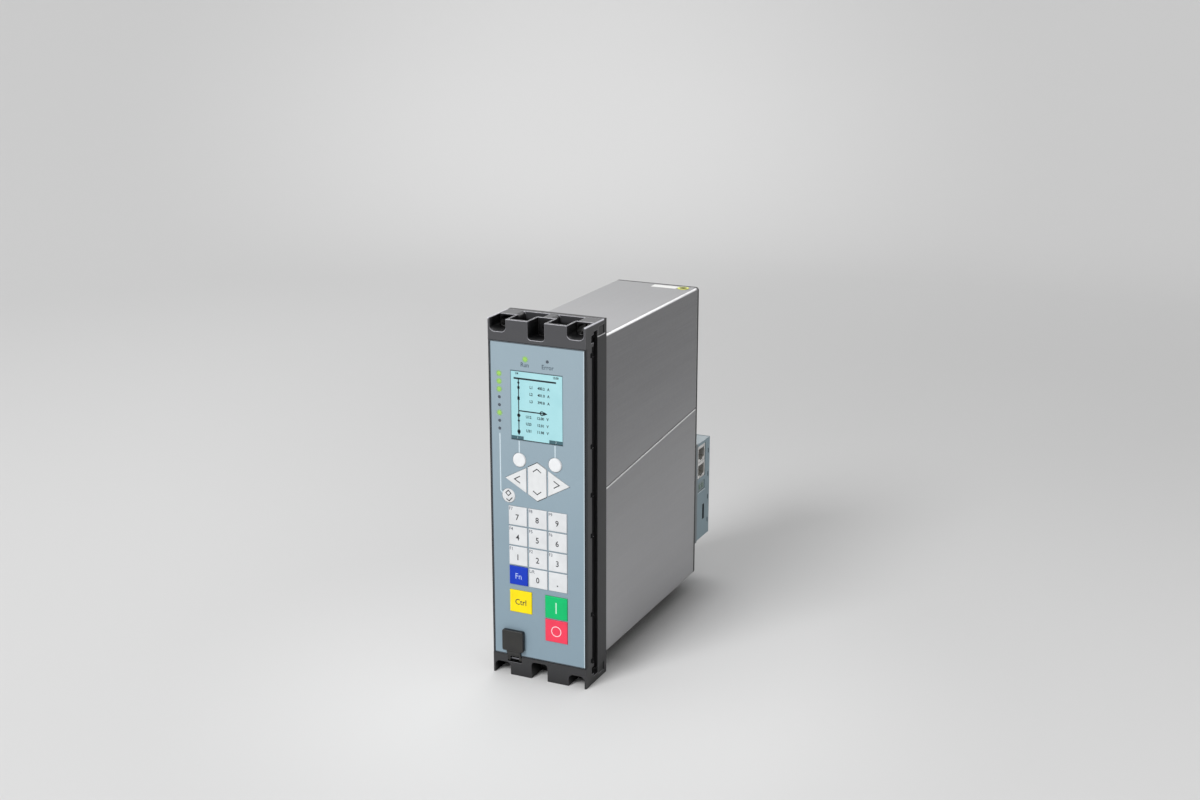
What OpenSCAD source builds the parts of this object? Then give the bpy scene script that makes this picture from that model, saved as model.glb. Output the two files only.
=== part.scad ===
// Protection relay for flush mounting in the door of a switchgear panel.
// Millimetres, +Z up, the front faces -Y. The origin is the middle of the panel plane:
// the rear face of the mounting collar, which lies against the panel.

/* [Front frame] */
// Width of the front frame
front_w = 75; // [72:0.5:84]
// Height of the front frame
front_h = 266; // [262:1:276]
// Depth of the front, from its face to the panel plane
front_d = 34; // [32:0.5:40]
// Depth of the side walls, from the face
cover_d = 13; // [12:0.5:14.5]
// Width of the groove between the side walls and the collar
groove_w = 6.3; // [5:0.1:7]
// Depth of that groove, from the side
groove_depth = 3.5; // [2.6:0.1:4]
// Thickness of the side walls
side_wall = 1.8; // [1.4:0.1:2.2]
// Width of the ledge that carries the front board
ledge_w = 4.2; // [3:0.1:5]
// Height of the plain bands above and below the operator panel
band_h = 15.3; // [14.6:0.1:16.5]
// Height of the end caps that reach back over the collar
cap_h = 10; // [9.9:0.1:10.8]
// Depth of the side recesses in the end caps
cap_recess = 0.9; // [0.5:0.1:1]
// Distance from the frame's end to the end of the groove
groove_end = 5.3; // [4:0.1:7]
// Height of the clip notches in the side walls
clip_h = 3.5; // [2:0.1:5]
// Depth of the clip notches
clip_d = 1.6; // [1:0.1:2.5]

/* [Screw troughs] */
// Width of the outer troughs
trough_w = 12.75; // [11:0.05:13]
// Depth of the outer troughs, from the frame's end
trough_depth = 9.25; // [8.9:0.05:9.4]
// Corner radius of the outer troughs
trough_r = 3.6; // [2:0.1:5]
// Wall between an outer trough and the frame's side
trough_rim = 1.3; // [1.2:0.1:2]
// Length of the troughs that is open upwards
trough_open = 16; // [14:0.5:17]
// Width of the covered screw tunnels
tunnel_w = 11.8; // [9:0.1:12]
// Height of the covered screw tunnels
tunnel_h = 7.6; // [7:0.1:7.8]
// Width of the middle trough
mid_w = 13; // [10:0.1:14]
// Depth of the middle trough
mid_depth = 12.9; // [11:0.1:13.2]
// Corner radius of the middle trough
mid_r = 2.6; // [1.5:0.1:4]
// Thickness of the lands between the troughs
land_t = 2.6; // [1.5:0.1:4]
// Thickness of the walls round the wells
well_wall = 1.2; // [0.8:0.1:1.6]
// Depth of the wells
well_depth = 8.2; // [5:0.1:8.6]
// Thickness of the wall behind the wells
well_rear = 2; // [1.2:0.1:4]
// Width of the boss behind the middle trough
boss_w = 10; // [9:0.5:12]
// Rounding of the boss and of the tunnel roofs
boss_r = 2.6; // [1:0.1:2.9]

/* [Mounting collar] */
// Thickness of the flange that lies against the panel
flange_t = 4; // [3:0.5:6]
// Distance from the frame's side to the fixing slots
fix_inset = 9.35; // [8.5:0.05:10]
// Distance from the frame's end to the fixing slots
fix_drop = 5.1; // [5:0.05:5.3]
// Width of the fixing slots
slot_w = 5; // [4.3:0.1:5.5]
// Length of the fixing slots
slot_len = 7; // [6:0.1:8]
// Wall of the collar's neck
neck_wall = 4; // [2.5:0.1:5]
// Thickness of the collar's front wall, which the housing butts against
collar_web = 2.5; // [1.5:0.1:4]
// Radius of the screws that hold the front to the collar
front_screw_r = 2; // [1.5:0.1:2.5]

/* [Housing] */
// Width of the housing
housing_w = 71; // [66:0.5:71.4]
// Distance between the ends of the frame and of the housing
housing_step = 13; // [12.4:0.1:14]
// Depth of the housing behind the panel plane
housing_d = 177; // [170:1:220]
// Thickness of the folded sheets
sheet_t = 1.2; // [0.8:0.1:1.6]
// Outer radius of the folds
fold_r = 2.5; // [2:0.1:4]
// Height of the seam at the panel plane, from the middle
seam_z = 7; // [-20:0.5:20]
// Rise of the seam from the panel plane to the rear
seam_rise = 15; // [0:0.5:25]
// Gap of the seam
seam_gap = 0.4; // [0.2:0.05:0.6]
// Thickness of the rear plate
rear_t = 3; // [2:0.1:4]
// Height of the lips that the rear plate is screwed to
lip_h = 9.4; // [9:0.1:10]
// Radius of the rear screws' shanks
rear_screw_r = 1.5; // [1.2:0.1:2]

/* [Earth point and label] */
// Distance of the earth point from the housing's side
earth_inset = 9.4; // [8:0.1:14]
// Distance of the earth point from the rear plate
earth_back = 6.6; // [6:0.1:14]
// Radius of the tapped hole
earth_r = 1.65; // [1.2:0.05:2.1]
// Radius of the yellow mark round it
earth_mark_r = 4.5; // [4:0.1:6]
// Depth of the tapped hole below the mark
earth_depth = 5; // [4:0.1:6]
// Length of the white label beside it
label_w = 21; // [10:0.5:26]
// Width of the white label
label_d = 8; // [4:0.5:11]

/* [Operator panel] */
// Thickness of the operator panel
plate_t = 3.2; // [2.6:0.1:3.6]
// Thickness of the front foil
foil_t = 0.3; // [0.2:0.05:0.5]
// Margin of the foil at the sides
foil_side = 1; // [0.4:0.1:1.5]
// Margin of the foil above and below
foil_end = 0.6; // [0.3:0.1:1]
// Width of the display
display_w = 40; // [34:0.5:44]
// Height of the display
display_h = 50; // [44:0.5:54]
// Height of the display's middle above the middle of the front
display_z = 72.4; // [68:0.1:74]
// Thickness of the display window
window_t = 0.8; // [0.6:0.1:1.2]
// Width of the display module's rim
lcd_rim = 3; // [2:0.5:4]
// Radius of the status lamps
lamp_r = 1.15; // [0.6:0.05:1.3]
// Distance of the lamp column from the middle
lamp_x = 29.2; // [27:0.1:31]
// Height of the top lamp in the column
lamp_top = 94.1; // [90:0.1:97]
// Spacing of the lamps in the column
lamp_pitch = 5.71; // [5:0.01:5.9]
// Distance of the two upper lamps from the middle
state_x = 8.55; // [6:0.05:14]
// Height of the two upper lamps
state_z = 106.2; // [103:0.1:110]

/* [Keys] */
// Travel of the keys
key_travel = 0.6; // [0.4:0.05:0.8]
// Height of the keys above the foil
key_proud = 0.6; // [0.4:0.05:1]
// Clearance between a key and its hole
key_clear = 0.2; // [0.15:0.01:0.25]
// Bevel of the keys' front edges
key_edge = 0.3; // [0.2:0.05:0.4]
// Overhang of the rim that keeps a key in its hole
key_rim = 0.38; // [0.3:0.01:0.42]
// Thickness of that rim
key_rim_t = 0.8; // [0.6:0.1:1.2]
// Width of the grid keys
grid_w = 14.5; // [12:0.1:14.6]
// Height of the grid keys
grid_h = 14; // [11:0.1:14]
// Gap between grid columns
grid_gap_x = 1.2; // [1.1:0.05:1.6]
// Gap between grid rows
grid_gap_z = 1.1; // [1.05:0.05:1.5]
// Height of the grid's middle below the middle of the front
grid_z = -31.9; // [-34:0.1:-31]
// Width of the Ctrl, on and off keys
wide_w = 17.6; // [14:0.1:20]
// Height of the Ctrl, on and off keys
wide_h = 16.9; // [14:0.1:17]
// Gap between the grid and the Ctrl and on keys
wide_drop = 4.3; // [2:0.1:5]
// Gap between the on and off keys
wide_gap = 1.05; // [1:0.05:1.6]
// Radius of the round keys
round_r = 5.15; // [4.4:0.05:5.4]
// Distance of the soft keys from the middle
soft_x = 14; // [13.6:0.1:18]
// Height of the soft keys
soft_z = 32.7; // [32.2:0.1:36]
// Distance of the lamp key from the middle
lamp_key_x = 23; // [21:0.1:26]
// Height of the lamp key
lamp_key_z = 5.1; // [4:0.1:5.4]
// Width of the arrow diamond
nav_w = 50.4; // [46:0.1:54]
// Height of the arrow diamond
nav_h = 28.1; // [24:0.1:28.4]
// Height of the arrow diamond's middle
nav_z = 18.3; // [18:0.1:18.8]
// Width of the rocker in the diamond's middle
rocker_w = 14.6; // [12:0.1:17]
// Gap between the rocker and the side arrows
nav_gap = 1.2; // [1.1:0.05:1.6]
// Room above and below the rocker for its swing
rocker_room = 0.35; // [0.3:0.05:1]
// Radius of the rocker's trunnions
trunnion_r = 0.6; // [0.5:0.05:0.7]

/* [Service socket and flap] */
// Distance of the socket from the middle
usb_x = 20; // [19.5:0.1:20.5]
// Height of the socket's middle above the panel's lower edge
usb_rise = 12.7; // [12:0.1:13.2]
// Width of the socket
usb_w = 12; // [9:0.1:12.4]
// Height of the socket
usb_h = 10.9; // [5:0.1:11.4]
// Thickness of the socket's shell
usb_wall = 0.6; // [0.4:0.05:0.8]
// Width of the tongue in the socket
tongue_w = 5.6; // [4:0.1:6]
// Height of the tongue in the socket
tongue_h = 3.2; // [2:0.1:3.4]
// Width of the flap
flap_w = 16.8; // [15:0.1:19]
// Height of the flap
flap_h = 15.9; // [14.4:0.1:16.4]
// Thickness of the flap
flap_t = 3.2; // [2.4:0.1:4]
// Corner radius of the flap
flap_r = 1.2; // [0.5:0.1:3]
// Width of the flap's neck
neck_w = 10.8; // [9:0.1:11.4]
// Radius of the hinge pin
pin_r = 0.9; // [0.7:0.05:1.1]
// Radius of the hinge knuckles
knuckle_r = 1.9; // [1.7:0.05:2.1]
// Width of the window in the neck
neck_window = 7; // [5:0.1:7.6]

/* [Communication module] */
// Width of the module
module_w = 30; // [26:0.5:31]
// Height of the module
module_h = 83.2; // [78:0.2:86]
// Depth of the module behind the housing
module_d = 34.6; // [32:0.2:40]
// Distance of the module from the housing's side
module_inset = 1.5; // [1.5:0.1:3]
// Height of the module's middle
module_z = -53.4; // [-56:0.2:-52]
// Depth of the module's base
base_d = 6; // [4:0.2:8]
// Margin of the base round the module
base_rim = 0.6; // [0.3:0.1:1]
// Thickness of the module's walls
module_wall = 1.6; // [1.2:0.1:2]
// Thickness of the module's rear cover
module_cover_t = 3; // [2:0.1:4]
// Width of the step round the rear cover's edge
cover_rim = 1.2; // [0.8:0.1:2]
// Depth of that step
cover_step = 0.8; // [0.4:0.1:1]
// Radius of the finger grooves in the rear cover
grip_r = 0.8; // [0.5:0.1:1]
// Spacing of the finger grooves
grip_pitch = 2.6; // [2.2:0.1:3.2]
// Width of a jack, along the module's depth
jack_w = 16.4; // [15:0.1:17]
// Height of a jack
jack_h = 13.7; // [13:0.1:14]
// Length of a jack
jack_len = 17.4; // [15:0.1:18]
// Wall of a jack's shell
jack_wall = 1; // [0.8:0.1:1.6]

/* [Terminals] */
// Width of the current terminal block
current_w = 36; // [32:0.5:37]
// Pitch of its screw rows
current_pitch = 23; // [20:0.5:24]
// Depth of the block
current_d = 22; // [18:0.5:24]
// Thickness of the barriers between its bays
barrier_t = 1.6; // [1.2:0.1:2.4]
// Thickness of its base
current_base = 8; // [6:0.5:10]
// Width of a signal terminal block
signal_w = 15.6; // [13:0.1:16]
// Pitch of the poles of a signal terminal block
pole_pitch = 6.5; // [5.5:0.1:6.7]
// Depth of a signal terminal block
signal_d = 18; // [14:0.5:20]
// Height of the upper terminals' middle
upper_z = 59; // [57:0.5:61]
// Height of the lower terminals' middle
lower_z = -55; // [-57:0.5:-53]

/* [Inside] */
// Thickness of the circuit boards
board_t = 1.6; // [1:0.1:2]
// Thickness of the keypad mat
mat_t = 1; // [0.6:0.1:1.5]
// Height of the mat's domes
dome_h = 1; // [0.6:0.1:1.5]
// Depth of the card guides' slots
guide_slot = 3.5; // [2:0.1:4]
// Height of the card guides
guide_h = 5; // [4.5:0.1:7]
// Place of the supply board across the housing
supply_x = -25; // [-27:0.5:-24]
// Place of the input and output board across the housing
io_x = -5; // [-6:0.5:-4]
// Place of the processor board across the housing
cpu_x = 20; // [19:0.5:21]
// Height of the sockets behind the terminals
socket_h = 80; // [60:1:86]
// Height of the socket behind the front board
front_socket_h = 60; // [30:1:90]
// Size of the current transformers
transformer_s = 20; // [16:0.5:21]
// Gap between the current transformers
transformer_gap = 3; // [1:0.1:3.4]
// Length of the output relays
relay_l = 20; // [16:0.5:22]
// Height of the output relays above their board
relay_h = 12; // [10:0.5:13]
// Pitch of the output relays' rows
relay_pitch = 22; // [14:0.5:23]
// Height of the supply parts above their board
supply_h = 13; // [10:0.5:15]
// Length of the supply transformer
supply_l = 33; // [24:0.5:40]
// Radius of the supply capacitors
capacitor_r = 7; // [5:0.1:8]
// Radius of the buffer battery
battery_r = 7.25; // [5:0.05:8]
// Length of the buffer battery
battery_l = 25; // [20:0.5:30]

/* [Hidden] */
$fn = 48;
over = 1;
running_gap = 0.3;
fit_gap = 0.15;
sliver = 0.05;
LIT_LAMPS = [0, 1, 2, 5];
DARK_LAMPS = [3, 4, 6, 7];
CLIP_SHARES = [-0.86, -0.59, -0.142, 0.085, 0.351, 0.84];
POLES = 14;
ROWS = 4;
GRIPS = 5;

// the heights above are drawn for a front of 266 mm, the widths at the rear for a housing of 71 mm,
// and they follow when the front or the housing grows
tall = front_h / 266;
broad = housing_w / 71;
display_tall = tall * display_h;
display_mid = tall * display_z;
lamp_first = tall * lamp_top;
lamp_step = tall * lamp_pitch;
state_mid = tall * state_z;
grid_tall = tall * grid_h;
grid_mid = tall * grid_z;
wide_tall = tall * wide_h;
wide_step = wide_tall + wide_gap;
soft_mid = tall * soft_z;
lamp_key_mid = tall * lamp_key_z;
nav_tall = tall * nav_h;
nav_mid = tall * nav_z;
flap_tall = tall * flap_h;
module_mid = tall * module_z;
upper_mid = tall * upper_z;
lower_mid = tall * lower_z;
current_step = tall * current_pitch;
pole_step = tall * pole_pitch;
housing_h = front_h - 2 * housing_step;
current_wide = broad * current_w;
signal_wide = broad * signal_w;
module_wide = broad * module_w;
supply_card_x = broad * supply_x;
io_card_x = broad * io_x;
cpu_card_x = broad * cpu_x;

// depths of the front, from the face to the panel plane
y_face = -front_d;
y_plate = y_face + foil_t;
y_seat = y_plate + plate_t;
y_cover = y_face + cover_d;
y_collar = y_cover + groove_w;
y_key = y_face - key_proud;
y_rim = y_seat + running_gap;
y_dome = y_rim + key_rim_t + key_travel + running_gap;
y_mat = y_dome + dome_h;
y_board = y_mat + mat_t;
y_ledge = y_board + board_t;
y_trough = y_face + trough_open;
y_lcd = y_face + window_t;
y_rear = housing_d - rear_t;
y_module = housing_d + module_d;
y_jack = housing_d + base_d + 1.8;

// heights and widths of the front
x_side = front_w / 2;
z_end = front_h / 2;
z_panel = z_end - band_h;
z_collar = z_end - cap_h;
panel_h = 2 * z_panel;
x_trough = x_side - trough_rim - trough_w / 2;
x_block = x_side - trough_rim - trough_w;
x_fix = x_side - fix_inset;
z_fix = z_end - fix_drop;
z_mid_screw = z_end - mid_depth + mid_w / 2;
x_inside = x_side - side_wall;

// keypad
grid_pitch_x = grid_w + grid_gap_x;
grid_pitch_z = grid_tall + grid_gap_z;
grid_side = grid_pitch_x + grid_w / 2;
grid_foot = grid_mid - 1.5 * grid_pitch_z - grid_tall / 2;
wide_mid = grid_foot - wide_drop - wide_tall / 2;
usb_mid = -z_panel + usb_rise;
wide_x = grid_side - wide_w / 2;
nav_slope = nav_tall / nav_w;
nav_grow = sqrt(1 + nav_slope * nav_slope);
arrow_x = rocker_w / 2 + nav_gap;
arrow_dome_x = (arrow_x + nav_w / 2) / 2 - 2;
rocker_press = nav_tall / 3;

// flap and its hinge
flap_y = y_face - running_gap - flap_t;
flap_z = usb_mid;
flap_foot = flap_z - flap_tall / 2;
pin_z = -z_panel - knuckle_r - 0.9;
pin_y = y_face + knuckle_r;
neck_t = 2;
hinge_slot_d = 2 * knuckle_r + 1;
pin_len = neck_w + 4;

// module and terminals
module_x = housing_w / 2 - module_inset - module_wide / 2;
module_side = module_x + module_wide / 2;
module_top = module_mid + module_h / 2;
jack_board_x = module_side - 0.4 - jack_len;
jack_z = [module_top - 2.6 - jack_h / 2, module_top - 3 - 1.5 * jack_h];
window_h = 8;
window_z = jack_z[1] - jack_h / 2 - 3.4 - window_h / 2;
latch_z = module_mid - 20;
latch_h = 13.2;
latch_w = 4.2;
cutout_rim = 0.8;
snap_pitch = 20.1;
snap_h = 4.2;
snap_d = 1.8;
current_h = ROWS * current_step + 6;
current_x = -housing_w / 2 + current_wide / 2 + 4;
signal_h = POLES * pole_step + 7;
spigot_rim = 2;
spigot_in = spigot_rim + fit_gap;
upper_signal_x = current_x + current_wide / 2 + 2 + signal_wide / 2;
lower_signal_x = [-housing_w / 2 + 2.4 + signal_wide / 2, -housing_w / 2 + 3.4 + 1.5 * signal_wide];
SIGNALS = [[upper_signal_x, upper_mid], [lower_signal_x[0], lower_mid], [lower_signal_x[1], lower_mid]];
rear_screw_x = housing_w / 2 - 5.5;
rear_screw_z = housing_h / 2 - sheet_t - lip_h / 2;
rear_head_r = 2.7;
rear_head_h = 1.8;

// inside of the housing
guide_z = housing_h / 2 - sheet_t;
board_z = guide_z - guide_h + guide_slot - running_gap;
y_card = y_collar + collar_web + 2.2;
y_card_end = y_rear - 6;
guide_len = y_card_end - y_card - 6;
CARDS = [supply_card_x, io_card_x, cpu_card_x];
socket_w = 4;
module_socket_h = 0.4 * module_h;

function grid_x(col) = (col - 1) * grid_pitch_x;
function grid_row_z(row) = grid_mid + (1.5 - row) * grid_pitch_z;
function lamp_z(i) = lamp_first - i * lamp_step;
function seam_at(y) = seam_z + seam_rise * y / housing_d;
// height of the diamond's edge at a place x, grown outwards by g
function nav_edge(x, g) = nav_tall / 2 - nav_slope * x + g * nav_grow;
function current_place(col, row) =
  [current_x + (col - 0.5) * current_wide / 2, upper_mid + (row - (ROWS - 1) / 2) * current_step];
function pole_z(i) = (i - (POLES - 1) / 2) * pole_step;

// the middle of every key that has a dome under it
DOMES = concat(
  [for (col = [0:2], row = [0:3]) [grid_x(col), grid_row_z(row)]],
  [for (s = [-1, 1]) [s * soft_x, soft_mid]],
  [for (s = [-1, 1]) [s * arrow_dome_x, nav_mid]],
  [for (s = [-1, 1]) [0, nav_mid + s * rocker_press]],
  [[-lamp_key_x, lamp_key_mid], [-wide_x, wide_mid], [wide_x, wide_mid], [wide_x, wide_mid - wide_step]]);

module along_y(y0, y1) {
  translate([0, y1, 0]) rotate([90, 0, 0]) linear_extrude(height = y1 - y0) children();
}

module along_x(x0, x1) {
  translate([x0, 0, 0]) rotate([90, 0, 90]) linear_extrude(height = x1 - x0) children();
}

module rod_y(x, z, r, y0, y1) {
  translate([x, y1, z]) rotate([90, 0, 0]) cylinder(r = r, h = y1 - y0);
}

module block(x, y, z) {
  translate([x[0], y[0], z[0]]) cube([x[1] - x[0], y[1] - y[0], z[1] - z[0]]);
}

module both_ends() {
  children();
  mirror([0, 0, 1]) children();
}

module both_sides() {
  children();
  mirror([1, 0, 0]) children();
}

module round_rect(w, h, r) {
  square([w - 2 * r, h], center = true);
  square([w, h - 2 * r], center = true);
  for (x = [-1, 1], z = [-1, 1]) translate([x * (w / 2 - r), z * (h / 2 - r)]) circle(r);
}

// a slot with round ends, lying along x
module stadium(w, h) {
  square([w - h, h], center = true);
  for (s = [-1, 1]) translate([s * (w - h) / 2, 0]) circle(h / 2);
}

// section of a trough that is open upwards, its floor at a depth below the frame's end
module trough_section(w, depth, r) {
  translate([0, z_end - depth]) {
    translate([-w / 2, r]) square([w, depth]);
    translate([-w / 2 + r, 0]) square([w - 2 * r, depth]);
    for (s = [-1, 1]) translate([s * (w / 2 - r), r]) circle(r);
  }
}

// section that rounds an upper edge: the corner at [x, z_end], the solid on the side s
module edge_section(x, s) {
  difference() {
    translate([x + s * boss_r / 2, z_end - boss_r / 2 + over / 2])
      square([boss_r, boss_r + over], center = true);
    translate([x + s * boss_r, z_end - boss_r]) circle(boss_r);
  }
}

module end_cuts() {
  well_in = mid_w / 2 + well_wall;
  well_out = x_block - well_wall;
  well_end = -flange_t - well_rear;
  both_sides() {
    translate([x_trough, 0, 0]) along_y(y_face - over, y_trough)
      trough_section(trough_w, trough_depth, trough_r);
    translate([x_trough, 0, z_fix]) along_y(y_trough - over, 0) stadium(tunnel_w, tunnel_h);
    // well between the troughs, wider behind the middle one
    block([well_in, well_out], [y_face + land_t, well_end], [z_end - well_depth, z_end + over]);
    block([boss_w / 2, well_out], [y_trough + well_wall, well_end], [z_end - well_depth, z_end + over]);
    along_y(y_trough + well_wall, well_end) {
      edge_section(boss_w / 2, -1);
      edge_section(well_out, 1);
    }
    // groove that runs up the side of the end, with a notch before it
    block([x_side - groove_depth, x_side + over], [y_cover, y_collar + sliver], [z_panel - over, z_collar]);
    block([x_side - cap_recess, x_side + over], [y_cover, y_collar], [z_collar - over, z_end - groove_end]);
    block([x_side - cap_recess, x_side + over], [y_cover - 3.7, y_cover + sliver],
      [z_end - 13, z_end - groove_end - 2.1]);
    // shallow side recess above the collar
    block([x_side - cap_recess / 2, x_side + over], [y_collar + 1.9, -flange_t + over],
      [z_collar - over, z_end - 3.4]);
  }
  along_y(y_face - over, y_trough) trough_section(mid_w, mid_depth, mid_r);
  rod_y(0, z_mid_screw, front_screw_r + fit_gap, y_trough - over, 0);
}

// one end of the front moulding: the plain band, the cap behind it and the screw troughs
module frame_end() {
  difference() {
    union() {
      block([-x_side, x_side], [y_face, y_collar], [z_panel, z_end]);
      block([-x_side, x_side], [y_collar - over, -flange_t], [z_collar, z_end]);
    }
    end_cuts();
  }
}

module upper_end() {
  color("#3b3c3e") frame_end();
}

module lower_end() {
  color("#3b3c3e") difference() {
    mirror([0, 0, 1]) frame_end();
    // slot for the flap's hinge, with holes for its pin
    block([-usb_x - neck_w / 2 - running_gap, -usb_x + neck_w / 2 + running_gap],
      [y_face - over, y_face + hinge_slot_d], [pin_z - knuckle_r - 0.5, -z_panel + over]);
    translate([-usb_x - pin_len / 2 - fit_gap, pin_y, pin_z]) rotate([0, 90, 0])
      cylinder(r = pin_r, h = pin_len + 2 * fit_gap);
  }
}

// the side walls between the ends, each with the ledge that carries the front board
module side_walls() {
  color("#3b3c3e") both_sides() difference() {
    union() {
      block([x_inside, x_side], [y_seat, y_cover], [-z_panel, z_panel]);
      block([x_inside - ledge_w, x_inside + over], [y_ledge, y_cover], [-z_panel, z_panel]);
    }
    for (z = CLIP_SHARES * z_end)
      block([x_inside - over, x_side + over], [y_cover - clip_d, y_cover + over],
        [z - clip_h / 2, z + clip_h / 2]);
  }
}

module mounting_collar() {
  neck_x = x_side - groove_depth;
  neck_z = z_panel - 0.2;
  color("#434446") difference() {
    union() {
      along_y(y_collar, 0) square([front_w, 2 * z_collar], center = true);
      along_y(y_cover, y_collar + over) square([2 * neck_x, 2 * neck_z], center = true);
      both_ends() block([-x_side, x_side], [-flange_t, 0], [z_collar - over, z_end]);
    }
    along_y(y_collar + collar_web, over)
      square([housing_w + 2 * fit_gap, housing_h + 2 * fit_gap], center = true);
    along_y(y_cover - over, y_collar + collar_web + over)
      square([2 * (neck_x - neck_wall), 2 * (neck_z - neck_wall)], center = true);
    both_ends() {
      for (s = [-1, 1]) translate([s * x_fix, 0, z_fix]) along_y(-flange_t - over, over)
        stadium(slot_len, slot_w);
      rod_y(0, z_mid_screw, front_screw_r, -flange_t - over, over);
    }
  }
}

// outlines of the keys, each grown by $grow
module grid_outline(col, row) {
  translate([grid_x(col), grid_row_z(row)])
    square([grid_w + 2 * $grow, grid_tall + 2 * $grow], center = true);
}

module wide_outline(x, z) {
  translate([x, z]) square([wide_w + 2 * $grow, wide_tall + 2 * $grow], center = true);
}

module arrow_outline(s) {
  inner = arrow_x - $grow;
  tip = (nav_tall / 2 + $grow * nav_grow) / nav_slope;
  edge = nav_edge(inner, $grow);
  translate([0, nav_mid]) polygon([[s * inner, edge], [s * tip, 0], [s * inner, -edge]]);
}

module rocker_outline(room = 0) {
  side = rocker_w / 2 + $grow;
  edge = nav_edge(side, $grow) + room;
  apex = nav_edge(0, $grow) + room;
  translate([0, nav_mid])
    polygon([[-side, edge], [0, apex], [side, edge], [side, -edge], [0, -apex], [-side, -edge]]);
}

module key_holes() {
  let ($grow = key_clear) {
    for (col = [0:2], row = [0:3]) grid_outline(col, row);
    for (s = [-1, 1]) arrow_outline(s);
    rocker_outline(rocker_room);
    wide_outline(-wide_x, wide_mid);
    wide_outline(wide_x, wide_mid);
    wide_outline(wide_x, wide_mid - wide_step);
  }
  for (s = [-1, 1]) translate([s * soft_x, soft_mid]) circle(round_r + key_clear);
  translate([-lamp_key_x, lamp_key_mid]) circle(round_r + key_clear);
}

module lamp_holes() {
  for (i = [0:7]) translate([-lamp_x, lamp_z(i)]) circle(lamp_r + sliver);
  for (s = [-1, 1]) translate([s * state_x, state_mid]) circle(lamp_r + sliver);
}

module panel_holes() {
  key_holes();
  lamp_holes();
  translate([0, display_mid]) square([display_w, display_tall], center = true);
  translate([-usb_x, usb_mid]) square([usb_w + 2 * fit_gap, usb_h + 2 * fit_gap], center = true);
}

module operator_panel() {
  color("#2c3238") along_y(y_plate, y_seat) difference() {
    square([front_w, panel_h], center = true);
    panel_holes();
  }
}

module front_foil() {
  color("#9fb2c0") along_y(y_face, y_plate) difference() {
    square([front_w - 2 * foil_side, panel_h - 2 * foil_end], center = true);
    panel_holes();
  }
}

module display_window() {
  color("#b2e6eb") translate([0, 0, display_mid]) along_y(y_face, y_lcd)
    square([display_w - 2 * fit_gap, display_tall - 2 * fit_gap], center = true);
}

module lcd_module() {
  color("#8fb8b8") translate([0, 0, display_mid]) {
    along_y(y_lcd, y_seat + over)
      square([display_w - 2 * fit_gap, display_tall - 2 * fit_gap], center = true);
    along_y(y_seat, y_board) square([display_w + 2 * lcd_rim, display_tall + 2 * lcd_rim], center = true);
  }
}

module light_pipe(x, z) {
  rod_y(x, z, lamp_r, y_face, y_board);
  rod_y(x, z, lamp_r + 0.5, y_seat, y_seat + 1);
}

module lit_light_pipes() {
  color("#96d75a") {
    for (i = LIT_LAMPS) light_pipe(-lamp_x, lamp_z(i));
    light_pipe(-state_x, state_mid);
  }
}

module dark_light_pipes() {
  color("#4c545a") {
    for (i = DARK_LAMPS) light_pipe(-lamp_x, lamp_z(i));
    light_pipe(state_x, state_mid);
  }
}

module keypad_mat() {
  top = soft_mid + round_r + 2;
  bottom = max(wide_mid - wide_step - wide_tall / 4, usb_mid + usb_h / 2 + running_gap);
  color("#5c6064") {
    block([-nav_w / 2 - 3, nav_w / 2 + 3], [y_mat, y_board], [bottom, top]);
    for (p = DOMES) translate([p[0], y_mat + sliver, p[1]]) rotate([90, 0, 0])
      cylinder(r1 = 3, r2 = 2, h = dome_h + sliver);
  }
}

module front_board() {
  color("#2f6b4a") along_y(y_board, y_ledge)
    square([2 * (x_inside - running_gap), panel_h - 2 * running_gap], center = true);
}

module service_socket() {
  color("#c4c6c8") translate([-usb_x, 0, usb_mid]) {
    along_y(y_plate, y_board) difference() {
      square([usb_w, usb_h], center = true);
      square([usb_w - 2 * usb_wall, usb_h - 2 * usb_wall], center = true);
    }
    along_y(y_board - 1, y_board) square([usb_w - usb_wall, usb_h - usb_wall], center = true);
    along_y(y_plate + 1, y_board - 0.5) square([tongue_w, tongue_h], center = true);
  }
}

module flap_pin() {
  color("#b8babc") translate([-usb_x - pin_len / 2, pin_y, pin_z]) rotate([0, 90, 0])
    cylinder(r = pin_r, h = pin_len);
}

// profile of the flap's neck and knuckles, y across and z up
module neck_profile() {
  back = y_face - running_gap;
  polygon([[back, flap_foot + over], [back - neck_t, flap_foot + over], [back - neck_t, flap_foot - 1.4],
    [pin_y - knuckle_r, pin_z + 1.4], [pin_y - knuckle_r, pin_z], [pin_y, pin_z], [pin_y, pin_z + knuckle_r],
    [back, -z_panel - running_gap]]);
  translate([pin_y, pin_z]) circle(knuckle_r);
}

module service_flap() {
  color("#46484a") difference() {
    union() {
      translate([-usb_x, 0, flap_z]) along_y(flap_y + key_edge, y_face - running_gap)
        round_rect(flap_w, flap_tall, flap_r);
      translate([-usb_x, 0, flap_z]) along_y(flap_y, flap_y + key_edge + sliver)
        round_rect(flap_w - 2 * key_edge, flap_tall - 2 * key_edge, flap_r);
      along_x(-usb_x - neck_w / 2, -usb_x + neck_w / 2) neck_profile();
    }
    // window that shows the pin
    block([-usb_x - neck_window / 2, -usb_x + neck_window / 2], [y_face - 2 * flap_t, pin_y + 2 * knuckle_r],
      [pin_z - knuckle_r - over, pin_z + knuckle_r + 0.5]);
    translate([-usb_x - neck_w, pin_y, pin_z]) rotate([0, 90, 0])
      cylinder(r = pin_r + sliver, h = 2 * neck_w);
  }
}

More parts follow.
